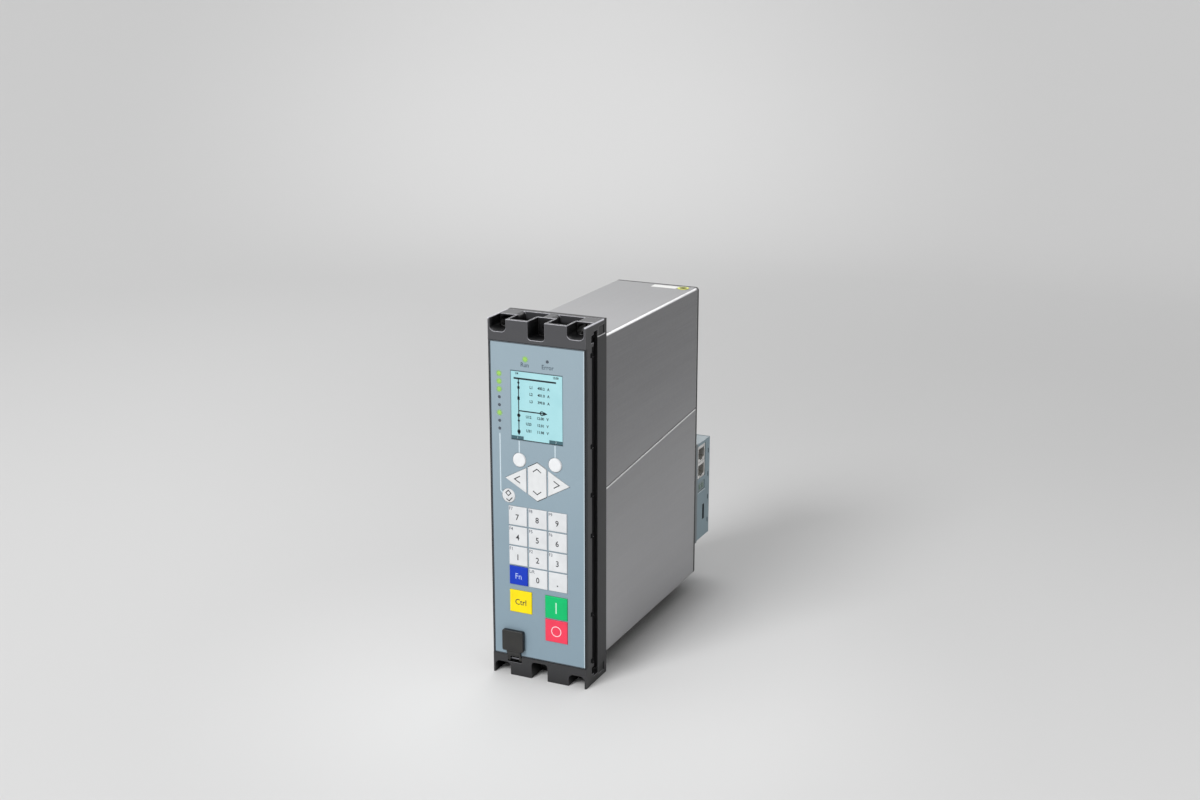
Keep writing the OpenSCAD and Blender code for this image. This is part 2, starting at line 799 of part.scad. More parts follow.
module front_screws() {
  color("#9a9da0") both_ends() {
    rod_y(0, z_mid_screw, front_screw_r - sliver, y_trough - over, 0);
    difference() {
      rod_y(0, z_mid_screw, 1.75 * front_screw_r, y_trough - 1.5 * front_screw_r, y_trough);
      rod_y(0, z_mid_screw, 0.8 * front_screw_r, y_trough - 2 * front_screw_r, y_trough - front_screw_r);
    }
  }
}

module housing_section() {
  difference() {
    round_rect(housing_w, housing_h, fold_r);
    round_rect(housing_w - 2 * sheet_t, housing_h - 2 * sheet_t, fold_r - sheet_t);
  }
}

// half of the housing: the tube on the side s of the seam, with the lip for the rear plate
module housing_half(s) {
  y0 = y_collar + collar_web;
  edge = s * seam_gap / 2;
  far = s * housing_h;
  lip_top = housing_h / 2 - sheet_t / 2;
  intersection() {
    along_y(y0, y_rear) housing_section();
    along_x(-housing_w, housing_w) polygon([[y0 - over, seam_at(y0 - over) + edge],
      [y_rear + over, seam_at(y_rear + over) + edge], [y_rear + over, far], [y0 - over, far]]);
  }
  difference() {
    block([-housing_w / 2 + fold_r, housing_w / 2 - fold_r], [y_rear - sheet_t, y_rear],
      s > 0 ? [lip_top - lip_h, lip_top] : [-lip_top, lip_h - lip_top]);
    for (x = [-1, 1])
      rod_y(x * rear_screw_x, s * rear_screw_z, rear_screw_r, y_rear - 2 * sheet_t, y_rear + over);
  }
}

module upper_housing() {
  color("#a9abad") difference() {
    housing_half(1);
    translate([housing_w / 2 - earth_inset, y_rear - earth_back, housing_h / 2 - 2 * sheet_t])
      cylinder(r = earth_r, h = 4 * sheet_t);
  }
}

module lower_housing() {
  color("#a2a4a6") housing_half(-1);
}

module earth_nut() {
  color("#c0b070") translate([housing_w / 2 - earth_inset, y_rear - earth_back, housing_h / 2 - earth_depth])
    difference() {
      cylinder(r = 2.2 * earth_r, h = earth_depth - sheet_t);
      translate([0, 0, -over]) cylinder(r = earth_r, h = earth_depth + 2 * over);
    }
}

module earth_mark() {
  color("#d8d832") translate([housing_w / 2 - earth_inset, y_rear - earth_back, housing_h / 2]) difference() {
    cylinder(r = earth_mark_r, h = foil_t);
    translate([0, 0, -over]) cylinder(r = earth_r, h = foil_t + 2 * over);
  }
}

module top_label() {
  x1 = housing_w / 2 - earth_inset - earth_mark_r - 0.4;
  y1 = y_rear - earth_back;
  color("#f2f2ee") block([x1 - label_w, x1], [y1 - label_d / 2, y1 + label_d / 2],
    [housing_h / 2, housing_h / 2 + foil_t / 2]);
}

module rear_plate() {
  color("#323335") difference() {
    along_y(y_rear, housing_d) round_rect(housing_w, housing_h, fold_r);
    for (x = [-1, 1], z = [-1, 1])
      rod_y(x * rear_screw_x, z * rear_screw_z, rear_screw_r + fit_gap, y_rear - over, housing_d + over);
    along_y(y_rear - over, housing_d + over) {
      translate([current_x, upper_mid])
        square([current_wide - 2 * spigot_rim, current_h - 2 * spigot_rim], center = true);
      for (p = SIGNALS) translate(p)
        square([signal_wide - 2 * spigot_rim, signal_h - 2 * spigot_rim], center = true);
      translate([cpu_card_x + board_t / 2, module_mid])
        square([board_t + 2 * socket_w + 2 * fit_gap, module_socket_h + 2 * fit_gap], center = true);
    }
  }
}

module rear_screws() {
  color("#b0b2b4") for (x = [-1, 1], z = [-1, 1]) {
    rod_y(x * rear_screw_x, z * rear_screw_z, rear_screw_r - sliver,
      y_rear - 2 * sheet_t, housing_d + sliver);
    difference() {
      rod_y(x * rear_screw_x, z * rear_screw_z, rear_head_r, housing_d, housing_d + rear_head_h);
      translate([x * rear_screw_x, housing_d + rear_head_h, z * rear_screw_z])
        cube([2 * rear_head_r + over, rear_head_h, 0.7], center = true);
    }
  }
}

module module_base() {
  color("#8b8f90") translate([module_x, 0, module_mid]) difference() {
    along_y(housing_d, housing_d + base_d)
      square([module_wide + 2 * base_rim, module_h + 2 * base_rim], center = true);
    along_y(housing_d + base_d / 2, housing_d + base_d + over)
      square([module_wide - 2 * module_wall, module_h - 2 * module_wall], center = true);
  }
}

module module_housing() {
  y0 = housing_d + base_d;
  y1 = y_module - module_cover_t;
  color("#78909a") difference() {
    translate([module_x, 0, module_mid]) difference() {
      along_y(y0, y1) square([module_wide, module_h], center = true);
      along_y(y0 - over, y1 + over)
        square([module_wide - 2 * module_wall, module_h - 2 * module_wall], center = true);
    }
    // side cut-out for the jacks, window on the board, latch slot
    block([module_side - 2 * module_wall, module_side + over], [y_jack - fit_gap, y_jack + jack_w + fit_gap],
      [jack_z[1] - jack_h / 2 - fit_gap, jack_z[0] + jack_h / 2 + fit_gap]);
    block([module_side - 2 * module_wall, module_side + over], [y_jack + cutout_rim, y_jack + jack_w - cutout_rim],
      [window_z - window_h / 2, window_z + window_h / 2]);
    block([module_side - 2 * module_wall, module_side + over],
      [y_jack + jack_w - cutout_rim - latch_w, y_jack + jack_w - cutout_rim],
      [latch_z - latch_h / 2, latch_z + latch_h / 2]);
    for (i = [-1.5:1.5]) translate([0, 0, module_mid + i * snap_pitch])
      block([module_side - 2 * module_wall, module_side + over], [y1 - snap_d, y1 + over],
        [-snap_h / 2, snap_h / 2]);
  }
}

module module_cover() {
  y1 = y_module - module_cover_t;
  inside_x = module_side - module_wall;
  field_w = module_wide - 2 * cover_rim;
  field_h = module_h - 2 * cover_rim;
  color("#7f969f") {
    translate([module_x, 0, module_mid]) difference() {
      union() {
        along_y(y1, y_module - cover_step) square([module_wide, module_h], center = true);
        along_y(y1, y_module) square([field_w, field_h], center = true);
      }
      // finger grooves across both ends of the raised field
      for (s = [-1, 1], i = [1:GRIPS])
        translate([-module_wide, y_module, s * (field_h / 2 - i * grip_pitch)])
          rotate([0, 90, 0]) cylinder(r = grip_r, h = 2 * module_wide);
    }
    // snap hooks behind the slits
    for (i = [-1.5:1.5]) translate([0, 0, module_mid + i * snap_pitch])
      block([inside_x - 1.4 - fit_gap, inside_x - fit_gap], [y1 - 3 * snap_d, y1 + sliver],
        [-snap_h / 2, snap_h / 2]);
  }
}

module module_board() {
  color("#2f6b4a") block([jack_board_x - board_t, jack_board_x],
    [housing_d + base_d / 2, y_module - module_cover_t - running_gap],
    [module_mid - module_h / 2 + module_wall + running_gap, module_top - module_wall - running_gap]);
}

module jack_shells() {
  color("#d4d6d8") for (z = jack_z) difference() {
    block([jack_board_x, jack_board_x + jack_len], [y_jack, y_jack + jack_w],
      [z - jack_h / 2, z + jack_h / 2]);
    // plug room, with the step for the plug's latch towards the rear
    block([jack_board_x + 5, jack_board_x + jack_len + over],
      [y_jack + jack_wall + 1, y_jack + jack_w - jack_wall - 1],
      [z - jack_h / 2 + jack_wall + 1.6, z + jack_h / 2 - jack_wall - 1.6]);
    block([jack_board_x + 5, jack_board_x + jack_len + over],
      [y_jack + jack_w / 2 - 3, y_jack + jack_w / 2 + 3], [z - jack_h / 2 + jack_wall, z]);
  }
}

module current_terminals() {
  bay_w = current_wide / 2 - 1.5 * barrier_t;
  bay_h = current_step - barrier_t;
  bay_floor = housing_d + current_base;
  bay_mouth = housing_d + current_d + over;
  color("#2b2c2e") difference() {
    union() {
      translate([current_x, 0, upper_mid]) along_y(housing_d, housing_d + current_d)
        square([current_wide, current_h], center = true);
      translate([current_x, 0, upper_mid]) along_y(y_rear, housing_d + over)
        square([current_wide - 2 * spigot_in, current_h - 2 * spigot_in], center = true);
    }
    for (col = [0, 1], row = [0:ROWS - 1]) {
      p = current_place(col, row);
      out = col == 0 ? -1 : 1;
      translate([p[0] - out * barrier_t / 4, 0, p[1]]) along_y(bay_floor, bay_mouth)
        square([bay_w, bay_h], center = true);
      // open side where the lug comes in
      translate([p[0] + out * bay_w / 2, 0, p[1]]) along_y(bay_floor, bay_mouth)
        square([bay_w / 2, 0.6 * bay_h], center = true);
      rod_y(p[0], p[1], 2, housing_d + 1, housing_d + current_base + over);
    }
  }
}

module signal_block() {
  color("#2b2c2e") difference() {
    union() {
      along_y(housing_d, housing_d + signal_d) square([signal_wide, signal_h], center = true);
      along_y(y_rear, housing_d + over)
        square([signal_wide - 2 * spigot_in, signal_h - 2 * spigot_in], center = true);
    }
    for (i = [0:POLES - 1]) {
      translate([signal_wide / 4, 0, pole_z(i)])
        along_y(housing_d + signal_d - 8, housing_d + signal_d + over) square([3.4, 3.4], center = true);
      rod_y(-signal_wide / 4, pole_z(i), 1.9, housing_d + signal_d - 5, housing_d + signal_d + over);
    }
  }
}

module signal_terminals() {
  for (p = SIGNALS) translate([p[0], 0, p[1]]) signal_block();
}

module slotted_head(x, z, r, y0, y1, slot) {
  difference() {
    rod_y(x, z, r, y0, y1);
    translate([x, y1, z]) cube([3 * r, y1 - y0, slot], center = true);
  }
}

module terminal_screws() {
  color("#b6b8ba") {
    for (col = [0, 1], row = [0:ROWS - 1]) {
      p = current_place(col, row);
      slotted_head(p[0], p[1], 4, housing_d + current_base, housing_d + current_base + 3.4, 1.2);
      rod_y(p[0], p[1], 2 - sliver, housing_d + 1.5, housing_d + current_base + sliver);
    }
    for (p = SIGNALS, i = [0:POLES - 1])
      slotted_head(p[0] - signal_wide / 4, p[1] + pole_z(i), 1.75,
        housing_d + signal_d - 5, housing_d + signal_d - 2, 0.6);
  }
}

module card_guides() {
  color("#d8d8d0") both_ends() difference() {
    block([-housing_w / 2 + fold_r, housing_w / 2 - fold_r], [y_card, y_card + guide_len],
      [guide_z - guide_h, guide_z]);
    for (x = CARDS) block([x - fit_gap, x + board_t + fit_gap], [y_card - over, y_card + guide_len + over],
      [guide_z - guide_h - over, guide_z - guide_h + guide_slot]);
  }
}

module card(x) {
  color("#2f6b4a") block([x, x + board_t], [y_card, y_card_end], [-board_z, board_z]);
}

module plug_in_boards() {
  for (x = CARDS) card(x);
}

// sockets between the boards and what they serve, from front to rear
module board_sockets() {
  half = tall * socket_h / 2;
  front_half = tall * front_socket_h / 2;
  module_half = module_socket_h / 2;
  color("#e0ddd2") {
    socket(cpu_card_x, y_ledge, y_card, [-front_half, front_half]);
    socket(io_card_x, y_card_end, y_rear, [upper_mid - half, upper_mid + half]);
    socket(io_card_x, y_card_end, y_rear, [lower_mid - half, lower_mid + half]);
    socket(supply_card_x, y_card_end, y_rear, [lower_mid - half, lower_mid + half]);
    socket(cpu_card_x, y_card_end, y_rear, [upper_mid - half, upper_mid + half]);
    socket(cpu_card_x, y_card_end, housing_d, [module_mid - module_half, module_mid + module_half]);
  }
}

module socket(x, y0, y1, z) block([x - socket_w, x + board_t + socket_w], [y0, y1], z);

module current_transformers() {
  x0 = io_card_x + board_t;
  y0 = y_card_end - 1.4 * transformer_s;
  size = tall * transformer_s;
  color("#6b4a3a") for (row = [0:3]) difference() {
    z = upper_mid + (row - 1.5) * (size + transformer_gap);
    block([x0, x0 + 0.8 * transformer_s], [y0, y0 + size], [z - size / 2, z + size / 2]);
    translate([x0 - over, y0 + size / 2, z]) rotate([0, 90, 0]) cylinder(r = size / 5, h = transformer_s);
  }
}

module output_relays() {
  pitch = tall * relay_pitch;
  color("#e8e6dc") for (row = [0:3], col = [0, 1])
    translate([io_card_x - relay_h, 0.2 * housing_d + 1.3 * col * relay_l, upper_mid + (row - 2.2) * pitch])
      cube([relay_h, relay_l, relay_l / 2]);
}

module supply_parts() {
  x0 = supply_card_x + board_t;
  y0 = 0.12 * housing_d;
  z0 = lower_mid - 1.1 * supply_l;
  color("#3c3f55") {
    translate([x0, y0, z0]) cube([supply_h, supply_l, supply_l]);
    for (i = [0:2]) translate([x0, y0 + 1.5 * supply_l + 2.6 * i * capacitor_r, z0 + supply_l / 2])
      rotate([0, 90, 0]) cylinder(r = capacitor_r, h = supply_h);
  }
}

module buffer_battery() {
  y0 = housing_d / 3;
  color("#c9c9c4") {
    translate([cpu_card_x - battery_r, y0, lower_mid]) cylinder(r = battery_r, h = battery_l);
    block([cpu_card_x - battery_r / 2, cpu_card_x], [y0 - 0.8 * battery_r, y0 + 0.8 * battery_r],
      [lower_mid - 2, lower_mid + battery_l + 2]);
  }
}

// a key with bevelled front edges and the rim that keeps it behind the panel
module key_solid(paint, rim = key_rim) {
  color(paint) {
    let ($grow = 0) along_y(y_key + key_edge, y_rim + key_rim_t) children();
    hull() {
      let ($grow = 0) along_y(y_key + key_edge, y_key + key_edge + sliver) children();
      let ($grow = -key_edge) along_y(y_key, y_key + sliver) children();
    }
    if (rim > 0) let ($grow = rim) along_y(y_rim, y_rim + key_rim_t) children();
  }
}

// a round key with a shallow crown
module round_key(x, z) {
  depth = y_rim + key_rim_t - y_key;
  color("#e6e7e7") translate([x, y_rim + key_rim_t, z]) rotate([90, 0, 0]) rotate_extrude()
    polygon([[0, 0], [round_r + key_rim, 0], [round_r + key_rim, key_rim_t], [round_r, key_rim_t],
      [round_r, depth - 0.7], [round_r - 0.25, depth - 0.45], [0.6 * round_r, depth - 0.12], [0, depth]]);
}

module soft_key_left() round_key(-soft_x, soft_mid);

module soft_key_right() round_key(soft_x, soft_mid);

module lamp_key() round_key(-lamp_key_x, lamp_key_mid);

module arrow_left() key_solid("#e4e6e6") arrow_outline(-1);

module arrow_right() key_solid("#e4e6e6") arrow_outline(1);

// the rocker tips about its middle, on two round trunnions behind the panel
module arrow_rocker() {
  reach = rocker_w / 2 + key_rim + fit_gap;
  key_solid("#e4e6e6", 0) rocker_outline();
  color("#e4e6e6") translate([-reach, y_rim + trunnion_r, nav_mid]) rotate([0, 90, 0])
    cylinder(r = trunnion_r, h = 2 * reach);
}

module grid_key(col, row, paint = "#e2e4e6") key_solid(paint) grid_outline(col, row);

module digit_7() grid_key(0, 0);

module digit_8() grid_key(1, 0);

module digit_9() grid_key(2, 0);

module digit_4() grid_key(0, 1);

module digit_5() grid_key(1, 1);

module digit_6() grid_key(2, 1);

module digit_1() grid_key(0, 2);

module digit_2() grid_key(1, 2);

module digit_3() grid_key(2, 2);

module fn_key() grid_key(0, 3, "#143cbe");

module digit_0() grid_key(1, 3);

module point_key() grid_key(2, 3);

module ctrl_key() key_solid("#fae10a") wide_outline(-wide_x, wide_mid);

module on_key() key_solid("#00cd69") wide_outline(wide_x, wide_mid);

module off_key() key_solid("#fa4b64") wide_outline(wide_x, wide_mid - wide_step);

upper_end();
lower_end();
side_walls();
mounting_collar();
operator_panel();
front_foil();
display_window();
lcd_module();
lit_light_pipes();
dark_light_pipes();
keypad_mat();
front_board();
service_socket();
flap_pin();
front_screws();
upper_housing();
lower_housing();
rear_plate();
rear_screws();
earth_nut();
earth_mark();
top_label();
module_base();
module_housing();
module_cover();
module_board();
jack_shells();
current_terminals();
signal_terminals();
terminal_screws();
card_guides();
plug_in_boards();
board_sockets();
current_transformers();
output_relays();
supply_parts();
buffer_battery();
soft_key_left();
soft_key_right();
lamp_key();
arrow_left();
arrow_right();
arrow_rocker();
digit_0();
digit_1();
digit_2();
digit_3();
digit_4();
digit_5();
digit_6();
digit_7();
digit_8();
digit_9();
point_key();
fn_key();
ctrl_key();
on_key();
off_key();
service_flap();
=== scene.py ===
# %% [markdown]
# # A protection relay, dressed for its picture
# The shapes of the relay come from the CAD model. This lesson gives every one of them a finish made of
# shader nodes, adds the thin things that a CAD model leaves out (printing, lettering, contacts, a thread),
# and sets up a plain studio. Lengths on the relay are written in millimetres and turned into metres at the
# end, because a maker reads a drawing in millimetres and Blender works in metres. Lamps and camera stand
# further off and are placed in metres.

# %% Load the frame
import math
import bmesh
import bpy
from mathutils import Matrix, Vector


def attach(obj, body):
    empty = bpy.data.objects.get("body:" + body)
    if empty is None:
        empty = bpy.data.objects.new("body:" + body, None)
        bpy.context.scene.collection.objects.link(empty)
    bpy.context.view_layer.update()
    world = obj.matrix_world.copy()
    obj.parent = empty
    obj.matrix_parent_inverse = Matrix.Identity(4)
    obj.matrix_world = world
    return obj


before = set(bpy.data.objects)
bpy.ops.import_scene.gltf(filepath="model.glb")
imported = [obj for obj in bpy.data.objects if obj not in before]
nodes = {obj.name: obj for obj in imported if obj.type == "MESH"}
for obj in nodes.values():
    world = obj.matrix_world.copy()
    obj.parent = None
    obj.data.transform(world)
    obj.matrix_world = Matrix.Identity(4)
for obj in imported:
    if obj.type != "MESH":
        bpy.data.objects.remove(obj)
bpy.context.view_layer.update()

MM = 0.001

# %% [markdown]
# ## Sums with shader nodes
# A finish is a small calculation: where am I, how near is an edge, how dark is the grain here. It could
# be wired by hand in the node editor, but a calculation reads better as a line of Python. The class
# below stands for one output of a node. Adding or multiplying two of them adds a Math node, and its
# node method adds any other kind: settings go in first, then numbers or links for the sockets.

# %% A wire that can be used in sums
class Wire:
    """One output socket of a material's nodes; sums made with it become Math nodes."""

    def __init__(self, tree, socket=None):
        self.tree = tree
        self.socket = socket

    def node(self, kind, settings=None, inputs=None, out=0):
        made = self.tree.nodes.new("ShaderNode" + kind)
        for name, value in (settings or {}).items():
            setattr(made, name, value)
        for key, value in (inputs or {}).items():
            if isinstance(value, Wire):
                self.tree.links.new(value.socket, made.inputs[key])
            else:
                made.inputs[key].default_value = value
        return Wire(self.tree, made.outputs[out]) if made.outputs else None

    def sum(self, operation, first, second=0.0):
        return self.node("Math", {"operation": operation}, {0: first, 1: second})

    def __add__(self, other):
        return self.sum("ADD", self, other)

    def __radd__(self, other):
        return self.sum("ADD", other, self)

    def __sub__(self, other):
        return self.sum("SUBTRACT", self, other)

    def __rsub__(self, other):
        return self.sum("SUBTRACT", other, self)

    def __mul__(self, other):
        return self.sum("MULTIPLY", self, other)

    def __rmul__(self, other):
        return self.sum("MULTIPLY", other, self)

    def __truediv__(self, other):
        return self.sum("DIVIDE", self, other)

    def __rtruediv__(self, other):
        return self.sum("DIVIDE", other, self)

    def __abs__(self):
        return self.sum("ABSOLUTE", self)

    def larger(self, other):
        return self.sum("MAXIMUM", self, other)

    def parts(self, letters):
        """The components of a vector that the letters name."""
        return [self.node("SeparateXYZ", inputs={0: self}, out=letter) for letter in letters]

    def ramp(self, low, high):
        """0 below low, 1 above high, with a soft passage between them."""
        return self.node("MapRange", {"interpolation_type": "SMOOTHSTEP"},
                         {"Value": self, "From Min": low, "From Max": high})


print("the wire class is ready")

# %% [markdown]
# ## Words for painting
# Every finish below asks the same few questions, so they get short names. Each is told the net of nodes
# that it adds to. `place` is the position in millimetres, which is the same for every object because all
# of them share one frame. `spots` is noise with a given spot size, `streaks` is noise drawn out along one
# direction, and `pitted` is the fine grain of a mould. `soft_edge` asks the Bevel node for a normal that
# rolls round the sharp CAD edges, which gives each edge the thin light line of a moulded or folded part;
# most finishes also use its edge mask to paint a highlight along the edges. `recess` is the mask for
# painted shade in recesses.

# %% Small painting helpers
def ink(red, green, blue):
    """A colour given as it looks on a screen, 0 to 255, as the linear numbers that a shader needs."""
    def linear(value):
        value = value / 255
        return value / 12.92 if value <= 0.04045 else ((value + 0.055) / 1.055) ** 2.4
    return (linear(red), linear(green), linear(blue), 1.0)


def place(net):
    here = net.node("TexCoord", out="Object")
    return net.node("VectorMath", {"operation": "SCALE"}, {0: here, "Scale": 1 / MM})


def axes(net, letters="XYZ"):
    return place(net).parts(letters)


def flat_normal(net):
    return net.node("NewGeometry", out="Normal")


def side_facing(net, axis):
    """1 on faces that look along the axis, either way, and 0 on the others."""
    return abs(flat_normal(net).parts(axis)[0]).ramp(0.6, 0.9)


def spots(net, size, detail=2.0):
    return net.node("TexNoise", inputs={"Vector": place(net), "Scale": 1 / size, "Detail": detail})


def streaks(net, across, along, axis="Y"):
    sizes = [1 / across, 1 / across, 1 / across]
    sizes["XYZ".index(axis)] = 1 / along
    drawn = net.node("VectorMath", {"operation": "MULTIPLY"}, {0: place(net), 1: sizes})
    return net.node("TexNoise", inputs={"Vector": drawn, "Scale": 1.0, "Detail": 3.0})


def mix(net, share, first, second):
    return net.node("Mix", {"data_type": "RGBA"}, {0: share, 6: first, 7: second}, out=2)


def soft_edge(net, radius):
    """The rolled normal, and a mask that is 1 on the middle of an edge and 0 on the flats."""
    rolled = net.node("Bevel", {"samples": 8}, {"Radius": radius * MM})
    flat = flat_normal(net)
    same = net.node("VectorMath", {"operation": "DOT_PRODUCT"}, {0: rolled, 1: flat}, out="Value")
    return rolled, (1 - same).ramp(0.01, 0.2)


def recess(net, reach):
    """1 deep in a recess narrower than the reach, 0 on open faces: the mask for painted shade."""
    open_sky = net.node("AmbientOcclusion", {"samples": 6}, {"Distance": reach * MM}, out="AO")
    return 1 - open_sky.ramp(0.2, 0.85)


def relief(net, height, depth, normal):
    return net.node("Bump", inputs={"Height": height, "Distance": depth * MM, "Normal": normal})


def pitted(net, depth, normal, size=0.35):
    return relief(net, spots(net, size, 1.0), depth, normal)


def shade(colour, factor):
    return tuple(min(1.0, part * factor) for part in colour[:3]) + (1.0,)


print("painting words are ready")

# %% [markdown]
# ## From a calculation to a material
# A finish is written as a function that returns what varies over the surface: colour, roughness,
# normal. What stays the same everywhere is passed as plain numbers. The maker below joins both to one
# Principled shader, so no finish has to repeat the wiring. A finish may also name where it paints a
# shadow: there the shader gives way to a dull black one that neither shines nor takes light, a painted
# shadow. `dress` then hands a finish to CAD nodes.

# %% The material maker
# Near black for painted shadows.
shadow_black = ink(12, 12, 13)


def finish(name, paint, **constants):
    material = bpy.data.materials.new(name)
    material.use_nodes = True
    material.node_tree.nodes.clear()
    net = Wire(material.node_tree)
    fixed = {words.replace("_", " "): value for words, value in constants.items()}
    varying = paint(net)
    # Where a finish names a painted shadow, a dull black shader takes over.
    shadow_share = varying.pop("Hollow", None)
    shader = net.node("BsdfPrincipled", inputs={**fixed, **varying})
    if shadow_share:
        dull = net.node("BsdfPrincipled", inputs={"Base Color": shadow_black, "Roughness": 1.0, "IOR": 1.05})
        shader = net.node("MixShader", inputs={0: shadow_share, 1: shader, 2: dull})
    net.node("OutputMaterial", inputs={"Surface": shader})
    return material


dressed = set()


def dress(material, *names):
    for name in names:
        for place_for_paint in nodes[name].material_slots:
            place_for_paint.material = material
        dressed.add(name)
    print(material.name, "on", ", ".join(names))


# %% [markdown]
# ## Moulded plastics
# The front frame, the collar and most small parts are injection mouldings. Their steel tool was spark
# eroded, so the surface has a fine even grain that scatters the light. The edges, which get touched and
# rubbed, are smoother than the flats and painted a little paler, partly as wear and partly as a painted
# highlight. Deep recesses are painted darker, as painted shade. A bump from very small noise spots makes
# the grain, larger spots vary the tone by a few per cent, the edge mask finds the edges and ambient
# occlusion finds the recesses.

# %% Moulded plastic in any tone
cloud_size, fine_grain, mould_radius, plastic_ior = 26, 0.012, 0.35, 1.48


def moulded(net, tones, rough, grain=fine_grain, radius=mould_radius):
    """The look of a moulding: two tones for flats, one for painted shade in recesses, one for worn, highlit
    edges.
    """
    rolled, wear_and_highlight = soft_edge(net, radius)
    clouds = spots(net, cloud_size)
    base = mix(net, clouds.ramp(0.3, 0.7), tones[0], tones[1])
    # Painted shade in recesses, then paler edges: partly wear, partly a painted highlight.
    recess_shaded = mix(net, recess(net, 14) * 0.85, base, tones[2])
    return {
        "Base Color": mix(net, wear_and_highlight * 0.8, recess_shaded, tones[3]),
        "Roughness": rough + 0.12 * (clouds - 0.5) - 0.1 * wear_and_highlight,
        "Normal": pitted(net, grain, rolled),
    }


def moulding(name, tone, rough=0.5, edge=1.7, grain=fine_grain, radius=mould_radius, ior=plastic_ior):
    tones = [shade(tone, factor) for factor in (0.92, 1.08, 0.12, edge)]
    return finish(name, lambda net: moulded(net, tones, rough, grain, radius), IOR=ior)


dress(moulding("panel_moulding", ink(15, 18, 23), 0.5, 1.2), "operator_panel")
dress(moulding("guide_moulding", ink(96, 98, 100), 0.5), "card_guides")

# %% Terminals, rubber and inner mouldings
dress(moulding("terminal_moulding", ink(46, 48, 50), 0.44, 2.2), "current_terminals", "signal_terminals")
dress(moulding("mat_rubber", ink(150, 152, 154), 0.75, 1.1, 0.02), "keypad_mat")
dress(moulding("ivory_moulding", ink(226, 220, 200), 0.42, 1.05), "board_sockets", "output_relays")
dress(moulding("core_varnish", ink(120, 84, 58), 0.35, 1.3, 0.03), "current_transformers")
dress(moulding("blue_sleeving", ink(40, 70, 130), 0.3, 1.4), "supply_parts")
dress(moulding("battery_wrap", ink(188, 192, 196), 0.35, 1.1), "buffer_battery")
dress(moulding("lcd_casing", ink(60, 62, 64), 0.5), "lcd_module")

# %% [markdown]
# ## The black front frame
# The frame is the largest black moulding, and the eye follows its edges, so it gets a recipe of its own.
# Edges that look upwards carry a painted highlight and are a little smoother; wells, pockets and side
# faces get painted shade, and the tone falls a little towards the foot, painted shade from the light
# above. The model has it as three solids, the real part is one, so the rolled edge is switched off at
# their joints and no seam shows. The wells behind the screw troughs are open to the sky, so their upper
# walls get less painted shade. The side walls turn into the groove behind them, and a painted shadow, a
# dull black shader, covers the groove's edge and reaches a little further forward at each clip notch.

# %% Front frame
frame_top, frame_foot_shade = ink(71, 71, 74), ink(46, 46, 48)
joint_z, frame_end, frame_side = 117.7, 133.0, 37.5
well_front, well_deep, wall_back, trough_end, collar_front = -33.4, -28.0, -21.0, -18.0, -14.7
clip_shares = (-0.86, -0.59, -0.142, 0.085, 0.351, 0.84)


def frame_paint(net):
    rolled, worn_and_highlit = soft_edge(net, 0.65)
    x, y, z = axes(net)
    height, width = abs(z), abs(x)
    free = abs(height - joint_z).ramp(0.4, 1.0)
    normal = net.node("Mix", {"data_type": "VECTOR"}, {0: free, 4: flat_normal(net), 5: rolled}, out=1)
    clouds = spots(net, cloud_size)
    sideways = side_facing(net, "X")
    # The tone falls towards the foot: painted shade from the light above.
    base = mix(net, z.ramp(-130, 130) + 0.12 * (clouds - 0.5), frame_foot_shade, frame_top)
    # Faces that look sideways are painted darker: painted shade.
    walls = mix(net, sideways * 0.45, base, shade(frame_top, 0.05))
    # Painted shade in recesses, weaker on the upper walls of the wells, which are open to the sky.
    behind = y.ramp(trough_end + 0.6, trough_end + 1.6)
    lifted = (height + 2.6 * side_facing(net, "Y")).ramp(frame_end - 5, frame_end - 1)
    sky = behind * lifted * (1 - width.ramp(frame_side - 2.5, frame_side - 1.5))
    recess_shaded = mix(net, recess(net, 18) * (1 - 0.75 * sky), walls, shade(frame_top, 0.07))
    # Painted shade deep in the troughs and wells.
    below_end = 1 - height.ramp(frame_end - 1, frame_end - 0.3)
    inside = below_end * (1 - width.ramp(frame_side - 0.6, frame_side - 0.2)) * (1 - 0.8 * sky)
    deep = inside * y.ramp(well_front, well_deep) * height.ramp(joint_z + 0.2, joint_z + 1)
    black = mix(net, deep * 0.8, recess_shaded, shade(frame_top, 0.05))
    # A painted shadow at the groove's edge, longer at each clip notch; it feeds the dull black shader.
    notches = 0.0
    for share in clip_shares:
        near = 1 - abs(z - share * frame_end).ramp(1.5, 1.9)
        notches = near.larger(notches)
    below = 1 - height.ramp(joint_z - 0.6, joint_z)
    lip_shadow = (y + 2.4 * notches).ramp(wall_back - 3.4, wall_back - 2.4) * below
    outer = width.ramp(frame_side - 1.6, frame_side - 1.2)
    groove_top_shadow = deep * outer * (1 - y.ramp(collar_front - 0.2, collar_front + 0.2))
    # Painted highlight on edges that look upwards, strongest up high, and on the top edge of each side.
    upward = rolled.parts("Z")[0].ramp(0.1, 0.45)
    pale = worn_and_highlit.ramp(0.0, 0.4) * free * (1 - deep) * (0.2 + 0.8 * upward) * (0.2 + 0.8 * z.ramp(-60, 60))
    top_edge_highlight = z.ramp(frame_end - 1, frame_end - 0.6) * width.ramp(frame_side - 0.9, frame_side - 0.5)
    return {
        "Base Color": mix(net, pale.larger(top_edge_highlight), black, shade(frame_top, 12.0)),
        "Roughness": 0.42 + 0.12 * (clouds - 0.5) - 0.1 * worn_and_highlit,
        "Normal": pitted(net, fine_grain, normal),
        "Hollow": 0.92 * sideways * lip_shadow.larger(groove_top_shadow),
    }


dress(finish("black_moulding", frame_paint, IOR=plastic_ior), "upper_end", "lower_end", "side_walls")

